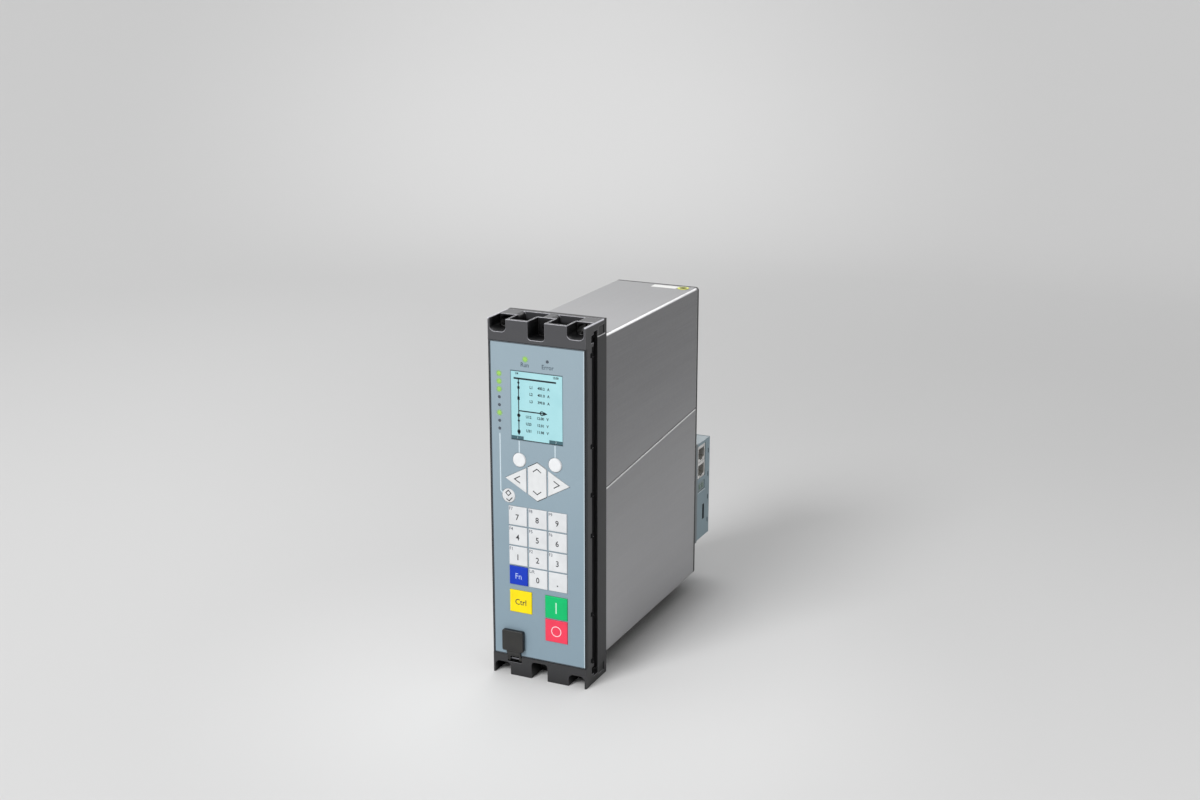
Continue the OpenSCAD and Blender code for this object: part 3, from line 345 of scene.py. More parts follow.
# %% [markdown]
# ## The mounting collar
# The collar behind the groove is pressed against the switchgear panel. It is the same black plastic, and
# its upper rim, which sticks out under the frame's end, carries a pale painted highlight.

# %% Collar
collar_top, flange = 123.0, -2.0
collar_tones = ink(38, 38, 40), ink(44, 44, 46), ink(10, 10, 10), ink(65, 65, 67)


def collar_paint(net):
    look = moulded(net, collar_tones, 0.48)
    y, z = axes(net, "YZ")
    # A painted highlight along the upper rim.
    rim = z.ramp(collar_top - 0.9, collar_top - 0.5) * (1 - z.ramp(collar_top, collar_top + 0.2))
    rim_highlight = rim * (1 - y.ramp(flange - 0.5, flange)) * side_facing(net, "X")
    look["Base Color"] = mix(net, rim_highlight * 0.9, look["Base Color"], ink(214, 214, 216))
    return look


dress(finish("collar_moulding", collar_paint, IOR=plastic_ior), "mounting_collar")

# %% [markdown]
# ## The flap
# The flap over the service socket is a soft black elastomer: darker than the frame, with a hint of brown,
# dull in the middle, with a painted highlight on its rim and painted shade that makes its narrow sides
# nearly black.

# %% Flap
def flap_paint(net):
    rolled, rim = soft_edge(net, 0.5)
    clouds = spots(net, 8, 3.0)
    face = mix(net, clouds.ramp(0.3, 0.7), ink(35, 35, 34), ink(41, 40, 38))
    # A painted highlight on the rim; faces other than the front and back get painted shade.
    rim_lit_face = mix(net, rim * 0.4, face, ink(78, 78, 76))
    return {
        "Base Color": mix(net, side_facing(net, "Y"), ink(17, 18, 22), rim_lit_face),
        "Roughness": 0.46 + 0.14 * (clouds - 0.5),
        "Normal": pitted(net, 0.008, rolled),
    }


dress(finish("flap_moulding", flap_paint, IOR=plastic_ior), "service_flap")

# %% [markdown]
# ## The blue-grey module
# The communication module is moulded from a blue-grey plastic, finer in grain than the black frame and
# slightly shiny. Its top, which faces the light, is painted a good deal paler than the sides, painted
# light; its recesses get painted shade and its edges a painted highlight. The cover and the base are the
# moulding recipe with other numbers.

# %% The module's plastics
def module_paint(net):
    rolled, worn_and_highlit = soft_edge(net, 0.6)
    clouds = spots(net, cloud_size)
    base = mix(net, clouds.ramp(0.3, 0.7), ink(121, 142, 152), ink(130, 152, 162))
    # Painted light on the top, painted shade in recesses, painted highlight on the edges.
    upward = flat_normal(net).parts("Z")[0]
    top_lit = mix(net, upward.ramp(0.5, 0.9), base, ink(194, 209, 216))
    recess_shaded = mix(net, recess(net, 9) * 0.8, top_lit, ink(40, 52, 60))
    return {
        "Base Color": mix(net, worn_and_highlit * 0.7, recess_shaded, ink(168, 186, 194)),
        "Roughness": 0.4 + 0.12 * (clouds - 0.5),
        "Normal": pitted(net, 0.008, rolled),
    }


dress(finish("module_moulding", module_paint, IOR=plastic_ior), "module_housing")
dress(moulding("module_cover_moulding", ink(132, 153, 162), 0.42, 1.35, 0.008, 0.6), "module_cover")
dress(moulding("module_base_moulding", ink(112, 120, 124), 0.45, 1.4, 0.01, 0.5), "module_base")

# %% [markdown]
# ## The keypad foil
# The front of the panel is a printed polyester foil. Its ink lies behind the clear sheet, so the colour
# is even and the surface is satin with a very fine texture. It is painted a touch lighter at the top than
# at the foot, painted shade from the light above. A colour ramp along the height would do; two tones mixed
# by height are shorter. The foil's cut edge catches the light, a painted highlight that the edge mask
# lightens.

# %% Foil
foil_top, foil_foot_shade, foil_end = ink(150, 169, 180), ink(133, 154, 167), 117.0


def foil_paint(net):
    rolled, cut = soft_edge(net, 0.3)
    z = axes(net, "Z")[0]
    clouds = spots(net, 60)
    # Painted shade darkens the foil towards the foot; the edge mask paints a highlight on the cut edge.
    height = (z + foil_end) / (2 * foil_end) + 0.25 * (clouds - 0.5)
    base = mix(net, height.ramp(0, 1), foil_foot_shade, foil_top)
    return {
        "Base Color": mix(net, cut * 0.7, base, ink(208, 218, 224)),
        "Roughness": 0.4 + 0.14 * (clouds - 0.5),
        "Normal": pitted(net, 0.004, rolled, 0.22),
    }


dress(finish("printed_foil", foil_paint, IOR=1.5), "front_foil")

# %% [markdown]
# ## Keys
# The keys are moulded in a pale grey and four signal colours and sit a little proud of the foil. They
# are smoother than the frame and unevenly polished by handling, so both tone and roughness follow one
# noise. The rounded front edge gets a thin painted highlight from the edge mask. One recipe serves all
# colours, so the set looks as if it came from one tool.

# %% Key plastics
def key_plastic(name, tone, rough=0.38):
    def paint(net):
        rolled, rim = soft_edge(net, 0.4)
        handled = spots(net, 9, 3.0)
        base = mix(net, handled.ramp(0.25, 0.75), shade(tone, 0.94), shade(tone, 1.03))
        return {
            # The rim gets a painted highlight.
            "Base Color": mix(net, rim * 0.5, base, shade(tone, 1.12)),
            "Roughness": rough + 0.14 * (handled - 0.5),
            "Normal": pitted(net, 0.004, rolled, 0.3),
        }
    return finish(name, paint, IOR=1.47, Specular_IOR_Level=0.3)


digits = ["digit_%d" % count for count in range(10)]
dress(key_plastic("pale_key", ink(222, 224, 226)), "point_key", "lamp_key", *digits)
dress(key_plastic("arrow_plastic", ink(226, 228, 229)), "arrow_left", "arrow_right", "arrow_rocker")
dress(key_plastic("soft_key_plastic", ink(232, 234, 236)), "soft_key_left", "soft_key_right")
dress(key_plastic("blue_key", ink(14, 58, 190)), "fn_key")
dress(key_plastic("yellow_key", ink(252, 226, 4)), "ctrl_key")
dress(key_plastic("green_key", ink(0, 190, 110)), "on_key")
dress(key_plastic("red_key", ink(242, 64, 92)), "off_key")

# %% [markdown]
# ## The lit display
# The display is a reflecting liquid crystal with a weak light behind it: a pale blue-green field, faintly
# clouded, with a grid of cells so fine that it only shows close up. Colour and a little emission make the
# field, two sine waves make the cell grid, and a clear coat on the shader is the polished window in front
# of it.

# %% Display window
cell = 0.42


def display_paint(net):
    x, z = axes(net, "XZ")
    def lines(value):
        return net.sum("SINE", value * (2 * math.pi / cell)).ramp(0.82, 1.0)
    grid = lines(x).larger(lines(z))
    clouds = spots(net, 22)
    glow = mix(net, clouds.ramp(0.3, 0.7), ink(172, 224, 230), ink(186, 235, 240))
    field = mix(net, grid * 0.18, glow, ink(140, 200, 208))
    return {
        "Base Color": mix(net, 0.35, field, ink(120, 170, 178)),
        "Emission Color": field,
        "Roughness": 0.34 + 0.1 * clouds,
    }


dress(finish("display_field", display_paint, Emission_Strength=0.09, Coat_Weight=0.4, Coat_Roughness=0.12),
      "display_window")

# %% [markdown]
# ## Status lamps
# Each status lamp is the end of a clear light pipe. A lit one is brightest in its middle and yellowish
# green; a dark one looks almost black, since one sees down the pipe. The lit colour falls off with the
# rim, which the edge mask gives without knowing where each lamp is.

# %% Light pipes
def lit_paint(net):
    rolled, rim = soft_edge(net, 0.5)
    flicker = spots(net, 0.8)
    glow = mix(net, rim, ink(152, 202, 88), ink(132, 186, 78))
    return {
        "Base Color": glow,
        "Emission Color": mix(net, flicker * 0.4, glow, ink(196, 232, 140)),
        "Roughness": 0.25 + 0.1 * flicker,
        "Normal": rolled,
    }


def dark_paint(net):
    rolled = soft_edge(net, 0.4)[0]
    murk = spots(net, 0.8)
    return {
        "Base Color": mix(net, murk, ink(52, 62, 74), ink(84, 96, 108)),
        "Roughness": 0.18 + 0.15 * murk,
        "Normal": rolled,
    }


dress(finish("lit_pipe", lit_paint, Emission_Strength=0.08), "lit_light_pipes")
dress(finish("dark_pipe", dark_paint, Coat_Weight=0.6), "dark_light_pipes")

# %% [markdown]
# ## Bare sheet
# The housing is folded from coated steel sheet. Rolling leaves fine lines along its depth, and the coating
# is slightly mottled. Neither a mirror nor a paint would look right: a metallic shader with medium
# roughness, streaked by noise drawn out along y, gives the dull sheen. Cut edges and bends are painted
# near white and less metallic, a painted highlight; a bend is where the surface looks sideways and
# upwards at once. The side walls are painted darker towards their upper fold and the top paler near the
# collar, painted shade and light. Where the two halves meet, the lower one has a painted highlight on its
# edge and the upper one a painted shadow.

# %% Folded sheet
seam_height, seam_slope, seam_shadow = 7.0, 15 / 177, ink(52, 52, 53)
sheet_rear, side_end = 174, 115


def sheet_paint(net):
    rolled, cut = soft_edge(net, 0.9)
    across, upward = flat_normal(net).parts("XZ")
    y, z = axes(net, "YZ")
    sideways = side_facing(net, "X")
    # Bends that look up and sideways get a painted highlight, weaker towards the rear.
    bend = abs(across * upward).ramp(0.24, 0.44) * (1 - 0.4 * y.ramp(20, sheet_rear))
    # At the seam, a painted shadow above it and a painted highlight below it.
    above = z - seam_height - seam_slope * y
    shadow = above.ramp(0.1, 0.3) * (1 - above.ramp(0.8, 1.1)) * sideways
    lit = above.ramp(-1.4, -1.1) * (1 - above.ramp(-0.3, -0.1)) * sideways
    fold_highlight = cut.larger(bend).larger(0.85 * lit) * (1 - shadow)
    drawn = streaks(net, 0.5, 60)
    wide = streaks(net, 7, 160)
    mottle = spots(net, 3.5, 4.0)
    tone = 0.45 * drawn + 0.3 * wide + 0.25 * mottle
    # Painted light and shade: the top is paler near the collar, the sides darker towards their upper fold.
    top_light_grade = mix(net, y.ramp(0, sheet_rear), ink(164, 164, 166), ink(143, 143, 145))
    side_light_grade = mix(net, z.ramp(-side_end, side_end), ink(173, 173, 175), ink(127, 127, 129))
    coat = mix(net, sideways, top_light_grade, side_light_grade)
    rolled_tone = mix(net, 0.08 * tone.ramp(0.3, 0.7), coat, ink(230, 230, 232))
    shaded = mix(net, 0.7 * shadow, rolled_tone, seam_shadow)
    return {
        "Base Color": mix(net, fold_highlight, shaded, ink(250, 250, 251)),
        "Roughness": 0.36 + 0.1 * tone - 0.12 * fold_highlight,
        "Metallic": (0.68 + 0.08 * mottle) * (1 - 0.75 * fold_highlight),
        "Normal": relief(net, drawn, 0.0025, rolled),
    }


dress(finish("bare_sheet", sheet_paint), "upper_housing", "lower_housing")

# %% [markdown]
# ## The rear plate
# The plate that closes the rear is powder coated in black. Powder flows a little before it sets, which
# leaves the rippled skin known as orange peel: noise spots about a millimetre wide, with a shallow bump.
# Its edges are painted paler, partly as wear and partly as a painted highlight.

# %% Powder coat
def powder_paint(net):
    rolled, wear_and_highlight = soft_edge(net, 0.4)
    peel = spots(net, 1.1)
    clouds = spots(net, 30)
    # Edges are painted paler: partly wear, partly a painted highlight.
    tone = mix(net, clouds, ink(28, 29, 31), ink(37, 38, 40))
    return {
        "Base Color": mix(net, wear_and_highlight * 0.4, tone, ink(74, 75, 77)),
        "Roughness": 0.42 + 0.12 * clouds,
        "Normal": relief(net, peel, 0.05, rolled),
    }


dress(finish("black_powder", powder_paint), "rear_plate")

# %% [markdown]
# ## Plated and turned metal
# The rear screws are zinc plated and those of the front blackened, so that they don't show in their
# troughs; jack shells are tinned sheet, the earth nut is brass. They differ in colour and in how strongly
# the tool marks show, so one recipe takes those as numbers. Edges are painted brighter, partly as wear and
# partly as a painted highlight; dirt in the plating makes darker, rougher spots.

# %% Metals
def metal(name, tone, rough, mark=0.006, metallic=1.0):
    def paint(net):
        rolled, wear_and_highlight = soft_edge(net, 0.25)
        tarnish = spots(net, 2.5, 4.0)
        lines = streaks(net, 0.12, 4, "Z")
        base = mix(net, tarnish.ramp(0.35, 0.75), tone, shade(tone, 0.72))
        # The edges are painted brighter: partly wear, partly a painted highlight.
        return {
            "Base Color": mix(net, wear_and_highlight * 0.7, base, shade(tone, 1.2)),
            "Roughness": rough + 0.2 * (tarnish - 0.5) + 0.06 * lines,
            "Metallic": metallic - 0.15 * tarnish,
            "Normal": relief(net, lines, mark, rolled),
        }
    return finish(name, paint)


dress(metal("zinc_plate", ink(188, 192, 198), 0.34), "rear_screws", "terminal_screws")
dress(metal("black_oxide", ink(17, 17, 19), 0.6, 0.004, 0.6), "front_screws")
dress(metal("dark_pin", ink(110, 110, 114), 0.45), "flap_pin")
dress(metal("tinned_shell", ink(228, 228, 226), 0.3, 0.004, 0.85), "jack_shells", "service_socket")
dress(metal("brass", ink(200, 164, 90), 0.36), "earth_nut")

# %% [markdown]
# ## Circuit boards
# A board is glass laminate under green lacquer, with copper tracks that show through as a lighter green
# and bare tinned pads. The brick texture makes a net of thin lines like tracks without drawing any, and
# a Voronoi pattern gives the pads. It is a pattern, not a circuit, but at this size it reads as one.

# %% Board lacquer
def board_paint(net):
    y, z = axes(net, "YZ")
    turned = net.node("CombineXYZ", inputs={0: y, 1: z})
    tracks = net.node("TexBrick", inputs={
        "Vector": turned, "Scale": 0.45, "Mortar Size": 0.045, "Mortar Smooth": 0.2}, out="Fac")
    dots = net.node("TexVoronoi", inputs={"Vector": turned, "Scale": 0.4}, out="Distance")
    pads = 1 - dots.ramp(0.16, 0.2)
    clouds = spots(net, 12)
    lacquer = mix(net, clouds, ink(26, 84, 56), ink(34, 100, 66))
    tracked = mix(net, tracks * 0.7, lacquer, ink(64, 138, 92))
    return {
        "Base Color": mix(net, pads, tracked, ink(206, 200, 180)),
        "Metallic": pads * 0.8,
        "Roughness": 0.32 + 0.1 * clouds,
        "Normal": relief(net, tracks.larger(pads), 0.03, flat_normal(net)),
    }


dress(finish("board_lacquer", board_paint), "front_board", "module_board", "plug_in_boards")

# %% [markdown]
# ## Label and earth mark
# The white label is a bare film sticker and the yellow ring round the earth point is one too. A sticker
# is smooth, slightly wavy where it was pressed on, and its cut edge is a shade darker.

# %% Stickers
def sticker(name, tone):
    def paint(net):
        rolled, cut = soft_edge(net, 0.15)
        wave = spots(net, 5)
        fibre = streaks(net, 0.15, 2, "X")
        base = mix(net, fibre.ramp(0.3, 0.7), shade(tone, 0.96), shade(tone, 1.02))
        return {
            "Base Color": mix(net, cut * 0.5, base, shade(tone, 0.75)),
            "Roughness": 0.4 + 0.15 * wave,
            "Normal": relief(net, wave, 0.03, rolled),
        }
    return finish(name, paint)


dress(sticker("white_label", ink(238, 238, 236)), "top_label")
dress(sticker("yellow_mark", ink(228, 232, 92)), "earth_mark")
print("dressed", len(dressed), "of", len(nodes), "left:", sorted(set(nodes) - dressed))

# %% [markdown]
# ## Flat marks
# Printing is drawn as flat shapes that lie a few hundredths of a millimetre above the surface they are
# printed on. A mark is a list of corners and a list of faces. Text comes from Blender's own lettering,
# turned into a mesh and scaled to the height it should have; lines and rings are strips of four-sided
# faces. Drawing marks as a mesh rather than as a texture keeps them sharp at any size.

# %% Marks: words, strokes, rings, discs and bars
squeeze = 0.92


def word(text, x, z, tall, side="CENTER", weight=0.0):
    lettering = bpy.data.curves.new("lettering", "FONT")
    lettering.body = text
    lettering.offset = weight
    lettering.resolution_u = 3
    holder = bpy.data.objects.new("lettering", lettering)
    mesh = bpy.data.meshes.new_from_object(holder)
    corners = [(v.co.x, v.co.y) for v in mesh.vertices]
    faces = [tuple(p.vertices) for p in mesh.polygons]
    low = [min(c[i] for c in corners) for i in (0, 1)]
    high = [max(c[i] for c in corners) for i in (0, 1)]
    scale = tall / (high[1] - low[1])
    middle = [(a + b) / 2 for a, b in zip(low, high)]
    anchor = low[0] if side == "LEFT" else middle[0]
    bpy.data.objects.remove(holder)
    bpy.data.meshes.remove(mesh)
    bpy.data.curves.remove(lettering)
    return [(x + (u - anchor) * scale * squeeze, z + (v - middle[1]) * scale) for u, v in corners], faces


def stroke(points, width, closed=False):
    """A line of even width through the points, mitred where it turns."""
    points = [Vector(p) for p in points]
    count = len(points)
    corners = []
    for i, point in enumerate(points):
        before = points[i - 1] if i or closed else None
        after = points[(i + 1) % count] if i < count - 1 or closed else None
        into = (point - before).normalized() if before is not None else None
        out = (after - point).normalized() if after is not None else None
        into, out = into or out, out or into
        along = (into + out).normalized()
        across = Vector((-along.y, along.x)) * (width / 2 / max(0.3, along.dot(into)))
        corners += [tuple(point + across), tuple(point - across)]
    pairs = count if closed else count - 1
    faces = [(2 * i + 1, (2 * i + 3) % (2 * count), (2 * i + 2) % (2 * count), 2 * i) for i in range(pairs)]
    return corners, faces


def circle(x, z, radius, steps):
    turns = [2 * math.pi * i / steps for i in range(steps)]
    return [(x + radius * math.cos(t), z + radius * math.sin(t)) for t in turns]


def ring(x, z, radius, width, steps=40):
    return stroke(circle(x, z, radius, steps), width, True)


def disc(x, z, radius, steps=24):
    return circle(x, z, radius, steps), [tuple(range(steps))]


def bar(x0, z0, x1, z1):
    return [(x0, z0), (x1, z0), (x1, z1), (x0, z1)], [(0, 1, 2, 3)]


print("mark test:", len(word("8", 0, 0, 4)[0]), "corners in one digit")

# %% [markdown]
# ## Printing ink
# Screen printing ink lies on the surface as a thin matt film, with tiny pinholes and slightly uneven
# cover. One recipe makes an ink of any colour. A sheet says where the marks go: on the front, on the
# rear or on the top. Each printed piece rides on the body that it is printed on, so a key takes its
# digit along when it is pressed.

# %% Inks, sheets and the printer
def printing_ink(name, tone, rough=0.5):
    def paint(net):
        cover = spots(net, 0.6, 3.0)
        return {
            "Base Color": mix(net, cover.ramp(0.25, 0.8), shade(tone, 0.93), shade(tone, 1.06)),
            "Roughness": rough + 0.15 * (cover - 0.5),
        }
    return finish(name, paint)


def front_sheet(y):
    return lambda u, v: (u * MM, y * MM, v * MM)


def rear_sheet(y):
    return lambda u, v: (-u * MM, y * MM, v * MM)


def top_sheet(z):
    return lambda u, v: (u * MM, v * MM, z * MM)


def hang(mesh, body):
    """A mesh as a piece of the scene that moves with a body."""
    piece = bpy.data.objects.new(mesh.name, mesh)
    bpy.context.collection.objects.link(piece)
    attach(piece, body)


def print_on(name, body, sheet, *layers):
    """One printed piece; a layer is an ink and its marks, with a material slot for each."""
    corners, faces, slots = [], [], []
    for layer, (paint, marks) in enumerate(layers):
        for mark_corners, mark_faces in marks:
            first = len(corners)
            corners += [sheet(u, v) for u, v in mark_corners]
            faces += [[first + i for i in face] for face in mark_faces]
            slots += [layer] * len(mark_faces)
    mesh = bpy.data.meshes.new(name)
    mesh.from_pydata(corners, [], faces)
    for paint, marks in layers:
        mesh.materials.append(paint)
    for face, layer in zip(mesh.polygons, slots):
        face.material_index = layer
    hang(mesh, body)


dark_ink = printing_ink("dark_ink", ink(44, 46, 50))
grey_ink = printing_ink("grey_ink", ink(92, 98, 110))
pale_ink = printing_ink("pale_ink", ink(206, 222, 230))
print("three inks that are used more than once are ready")

# %% [markdown]
# ## Legends of the digit keys
# The grid holds three columns and four rows. Each digit stands a little below the middle of its key,
# and a small F-number stands in the top left corner. They are printed on the key's flat front, so the
# place of every legend follows from its key's place in the grid.

# %% Digit keys
key_y, foil_y, ink_gap = -34.6, -34.0, 0.02
column_x = [-15.7, 0, 15.7]
row_z = [-9.25, -24.35, -39.45, -54.55]
grid = [["digit_7", "digit_8", "digit_9"], ["digit_4", "digit_5", "digit_6"],
        ["digit_1", "digit_2", "digit_3"], ["fn_key", "digit_0", "point_key"]]
small = {"digit_%d" % n: "F%d" % n for n in range(1, 10)}
small["digit_0"] = "L/R"


def legend(key, *layers):
    print_on(key + "_legend", key + "_body", front_sheet(key_y - ink_gap), *layers)


for row, z in zip(grid, row_z):
    for key, x in zip(row, column_x):
        if key in small:
            digit = word(key[-1], x - 0.3, z - 0.9, 4.4, weight=0.014)
            corner = word(small[key], x - 6.7, z + 5.2, 2.4, "LEFT", 0.01)
            legend(key, (dark_ink, [digit]), (grey_ink, [corner]))
print("digit legends on", len(small), "keys")

# %% [markdown]
# ## Legends of the other keys
# The arrow keys carry thin open chevrons, Fn and Ctrl carry their names, the on and off keys a bar and
# a ring. The lamp key shows a small lamp: a square standing on its corner with a tick under it. They
# are strokes of even width, which is how such signs are drawn for a printing screen.

# %% Point, function, control, on and off
sky_ink = printing_ink("sky_ink", ink(186, 204, 242))
mint_ink = printing_ink("mint_ink", ink(206, 248, 226))
blush_ink = printing_ink("blush_ink", ink(255, 212, 218))
legend("point_key", (dark_ink, [disc(column_x[2] - 0.3, row_z[3] - 2.6, 0.55)]))
legend("fn_key", (sky_ink, [word("Fn", column_x[0], row_z[3] - 0.3, 4.3)]))
legend("ctrl_key", (dark_ink, [word("Ctrl", -14.15, -74.6, 4.4, weight=0.01)]))
legend("on_key", (mint_ink, [bar(13.75, -78.5, 14.55, -70.1)]))
legend("off_key", (blush_ink, [ring(14.15, -92.25, 3.7, 0.65)]))
print("five more legends")

# %% Arrows and lamp key
arrow_w, lamp_w = 0.7, 0.6
lamp_x, lamp_z = -23, 5.1
square = [(lamp_x - 2.0, lamp_z + 2.1), (lamp_x + 0.1, lamp_z + 4.1),
          (lamp_x + 2.1, lamp_z + 2.1), (lamp_x + 0.1, lamp_z + 0.1)]
tick = [(lamp_x - 1.6, lamp_z - 2.3), (lamp_x + 0.6, lamp_z - 3.7), (lamp_x + 3.2, lamp_z - 0.9)]
legend("arrow_left", (dark_ink, [stroke([(-13.4, 21.0), (-17.8, 18.4), (-13.4, 15.8)], arrow_w)]))
legend("arrow_right", (dark_ink, [stroke([(13.0, 15.8), (17.4, 18.4), (13.0, 21.0)], arrow_w)]))
legend("arrow_rocker", (dark_ink, [stroke([(-3.2, 25.6), (0, 28.0), (3.2, 25.6)], arrow_w),
                                   stroke([(3.2, 11.6), (0, 9.2), (-3.2, 11.6)], arrow_w)]))
legend("lamp_key", (dark_ink, [stroke(square, lamp_w, True), stroke(tick, lamp_w)]))
print("arrow signs and the lamp sign")

# %% [markdown]
# ## Printing on the foil
# The foil carries the words Run and Error under the two upper lamps, and pale leader lines that tie the
# soft keys to the display and the lamp key to its column of lamps. A thin darker line, a painted shadow,
# frames the display where the foil's window is cut, and a bright line, a painted highlight, follows the
# foil's right edge, where the cut shows. A painted shadow runs along the other three edges, at the joint
# to the frame.

# %% Foil printing
foil_side, leader_w, leader_low = 36.45, 0.85, 38.2
soft_key_x, lamp_column_x = 14, -29.2
display_x, display_low, display_high = 20.0, 47.4, 97.4
leaders = [stroke([(x, display_low - 0.6), (x, leader_low)], leader_w) for x in (-soft_key_x, soft_key_x)]
leaders.append(stroke([(lamp_column_x, 50.6), (lamp_column_x, 8.2), (-27.2, 6.4)], leader_w))
captions = [word(text, x, 102.2, 3.2, weight=0.006) for text, x in (("Run", -8.9), ("Error", 8.9))]
# The display window's outline is a painted shadow line.
window = bar(-display_x - 0.2, display_low - 0.2, display_x + 0.2, display_high + 0.2)[0]
# A painted highlight on the foil's right edge, and a painted shadow along the other three.
cut_edge_highlight = bar(36.0, -116.9, foil_side, 116.9)
margin_shadow = [bar(-foil_side, -foil_end, -35.6, foil_end), bar(-foil_side, -foil_end, foil_side, -116.5),
               bar(-foil_side, 116.6, foil_side, 117.05)]
slate_ink = printing_ink("slate_ink", ink(58, 74, 86))
window_shadow_ink = printing_ink("window_shadow_ink", ink(118, 136, 148))
margin_shadow_ink = printing_ink("margin_shadow_ink", ink(44, 50, 58))
print_on("foil_printing", "relay", front_sheet(foil_y - ink_gap),
         (pale_ink, leaders + [cut_edge_highlight]), (slate_ink, captions),
         (window_shadow_ink, [stroke(window, 0.4, True)]), (margin_shadow_ink, margin_shadow))
print("leaders", len(leaders), "captions", len(captions))

# %% [markdown]
# ## The drawing on the display
# The display shows a feeder: a thick busbar, a line that goes down from it with its switches, a branch
# with a meter, and rows of measured values. Two dark boxes at the foot name the soft keys. Each sign is
# one of the marks above, in a dark blue-grey like the segments of a liquid crystal.

# %% Display drawing
crystal = printing_ink("crystal_dark", ink(18, 34, 40), 0.3)
crystal_box = printing_ink("crystal_box", ink(62, 98, 108), 0.3)
line_x = -14.0
single_line = [
    stroke([(-17.7, 92.0), (15.2, 92.0)], 1.25),
    stroke([(line_x, 92.1), (line_x, 53.0)], 0.75),
    disc(line_x, 89.0, 0.85),
    bar(line_x - 0.9, 84.6, line_x + 0.9, 86.4),
    bar(line_x - 0.9, 76.6, line_x + 0.9, 79.0),
    disc(line_x, 65.4, 1.3),
    bar(line_x - 0.85, 61.0, line_x + 0.85, 62.2),
    stroke([(line_x, 68.8), (6.0, 68.8)], 0.9), ring(4.1, 68.8, 1.35, 0.7, 24),
    ([(5.6, 67.5), (8.4, 68.8), (5.6, 70.1)], [(0, 1, 2)]),
    ([(line_x - 1.4, 53.6), (line_x, 50.9), (line_x + 1.4, 53.6)], [(0, 1, 2)]), disc(line_x, 54.0, 1.2),
]
upper_values = [("L1", "400.2", "A", 86.6), ("L2", "401.0", "A", 81.6), ("L3", "399.8", "A", 76.4)]
lower_values = [("U12", "12.00", "V", 65.0), ("U23", "12.01", "V", 59.9), ("U31", "11.98", "V", 54.9)]
bold = 0.03
rows = []
for values, columns in ((upper_values, (-4.2, 3.6, 9.2)), (lower_values, (-6.3, 3.0, 8.4))):
    for *texts, z in values:
        rows += [word(text, x, z, 2.1, weight=bold) for text, x in zip(texts, columns)]
header = [word("1/4", -15.2, 95.6, 1.7, weight=bold), word("12:00", 15.0, 95.4, 1.7, weight=bold),
          bar(-20, 97.0, 20, 97.35), bar(-20, 47.45, 20, 48.0)]
boxes = [bar(-19.9, 48.0, -10.4, 50.4), bar(9.6, 48.0, 19.9, 50.4)]
names = [word("1", -15.1, 49.2, 1.5), word("2", 14.8, 49.2, 1.5)]
print_on("display_drawing", "relay", front_sheet(foil_y - 0.03),
         (crystal, single_line + rows + header), (crystal_box, boxes))
print_on("display_box_names", "relay", front_sheet(foil_y - 0.05), (pale_ink, names))
print("display signs", len(single_line), "rows", len(upper_values + lower_values))

# %% [markdown]
# ## Glow round the lit lamps
# A lit lamp shines a little into the clear foil round it. The glow is a flat ring whose cover fades from
# the lamp outwards. Each corner of the ring carries a number, 1 at the lamp and 0 outside, in a mesh
# attribute, and the shader uses it as the alpha, so the shader needn't know where each lamp sits. The
# helpers that come first turn loops of corners into a skin; the lathe shapes further down use them too.

# %% Loops and skins
def loop_on(work, sheet, points):
    return [work.verts.new(sheet(u, v)) for u, v in points]


def skin(work, loops, smooth=False):
    """Faces between each loop and the next one; the last may be a single point."""
    for lower, upper in zip(loops, loops[1:]):
        for i in range(len(lower)):
            after = (i + 1) % len(lower)
            top = [upper[after], upper[i]] if len(upper) > 1 else upper
            work.faces.new([lower[i], lower[after]] + top).smooth = smooth


def mesh_from(work, name, paint):
    mesh = bpy.data.meshes.new(name)
    work.to_mesh(mesh)
    work.free()
    mesh.materials.append(paint)
    return mesh


print("loops and skins are ready")

# %% Glow rings
def glow_paint(net):
    fade = net.node("Attribute", {"attribute_name": "fade"}, out="Fac")
    flicker = spots(net, 0.7)
    tone = mix(net, flicker, ink(150, 208, 84), ink(168, 216, 104))
    return {
        "Base Color": tone,
        "Emission Color": tone,
        "Alpha": 0.8 * fade,
        "Roughness": 0.4 + 0.1 * flicker,
    }


lit_places = [(lamp_column_x, 94.1 - 5.71 * count) for count in (0, 1, 2, 5)] + [(-8.55, 106.2)]
glow_steps, glow_sheet = 32, front_sheet(foil_y - 0.012)
work = bmesh.new()
fades = []
for x, z in lit_places:
    loops = []
    for reach, strength in ((2.7, 0.0), (2.1, 0.3), (1.6, 0.65), (1.1, 1.0)):
        loops.append(loop_on(work, glow_sheet, circle(x, z, reach, glow_steps)))
        fades += [strength] * glow_steps
    skin(work, loops)
mesh = mesh_from(work, "lamp_glow", finish("lamp_glow", glow_paint, Emission_Strength=0.15))
mesh.attributes.new("fade", "FLOAT", "POINT").data.foreach_set("value", fades)
hang(mesh, "relay")
print("glow rings", len(lit_places))

# %% [markdown]
# ## Domed soft keys
# The two round soft keys are slightly domed. A dome is a lathe shape: a shallow arc, turned round the key's
# axis. It starts at the key's rim, so the cap sits on the CAD key without a step, and it rides on that
# key's body.

# %% Key domes
soft_cap = key_plastic("soft_key_cap", ink(234, 236, 238), 0.3)
soft_key_z, cap_r, cap_rise, cap_rings, cap_steps = 32.7, 4.8, 0.45, 8, 48

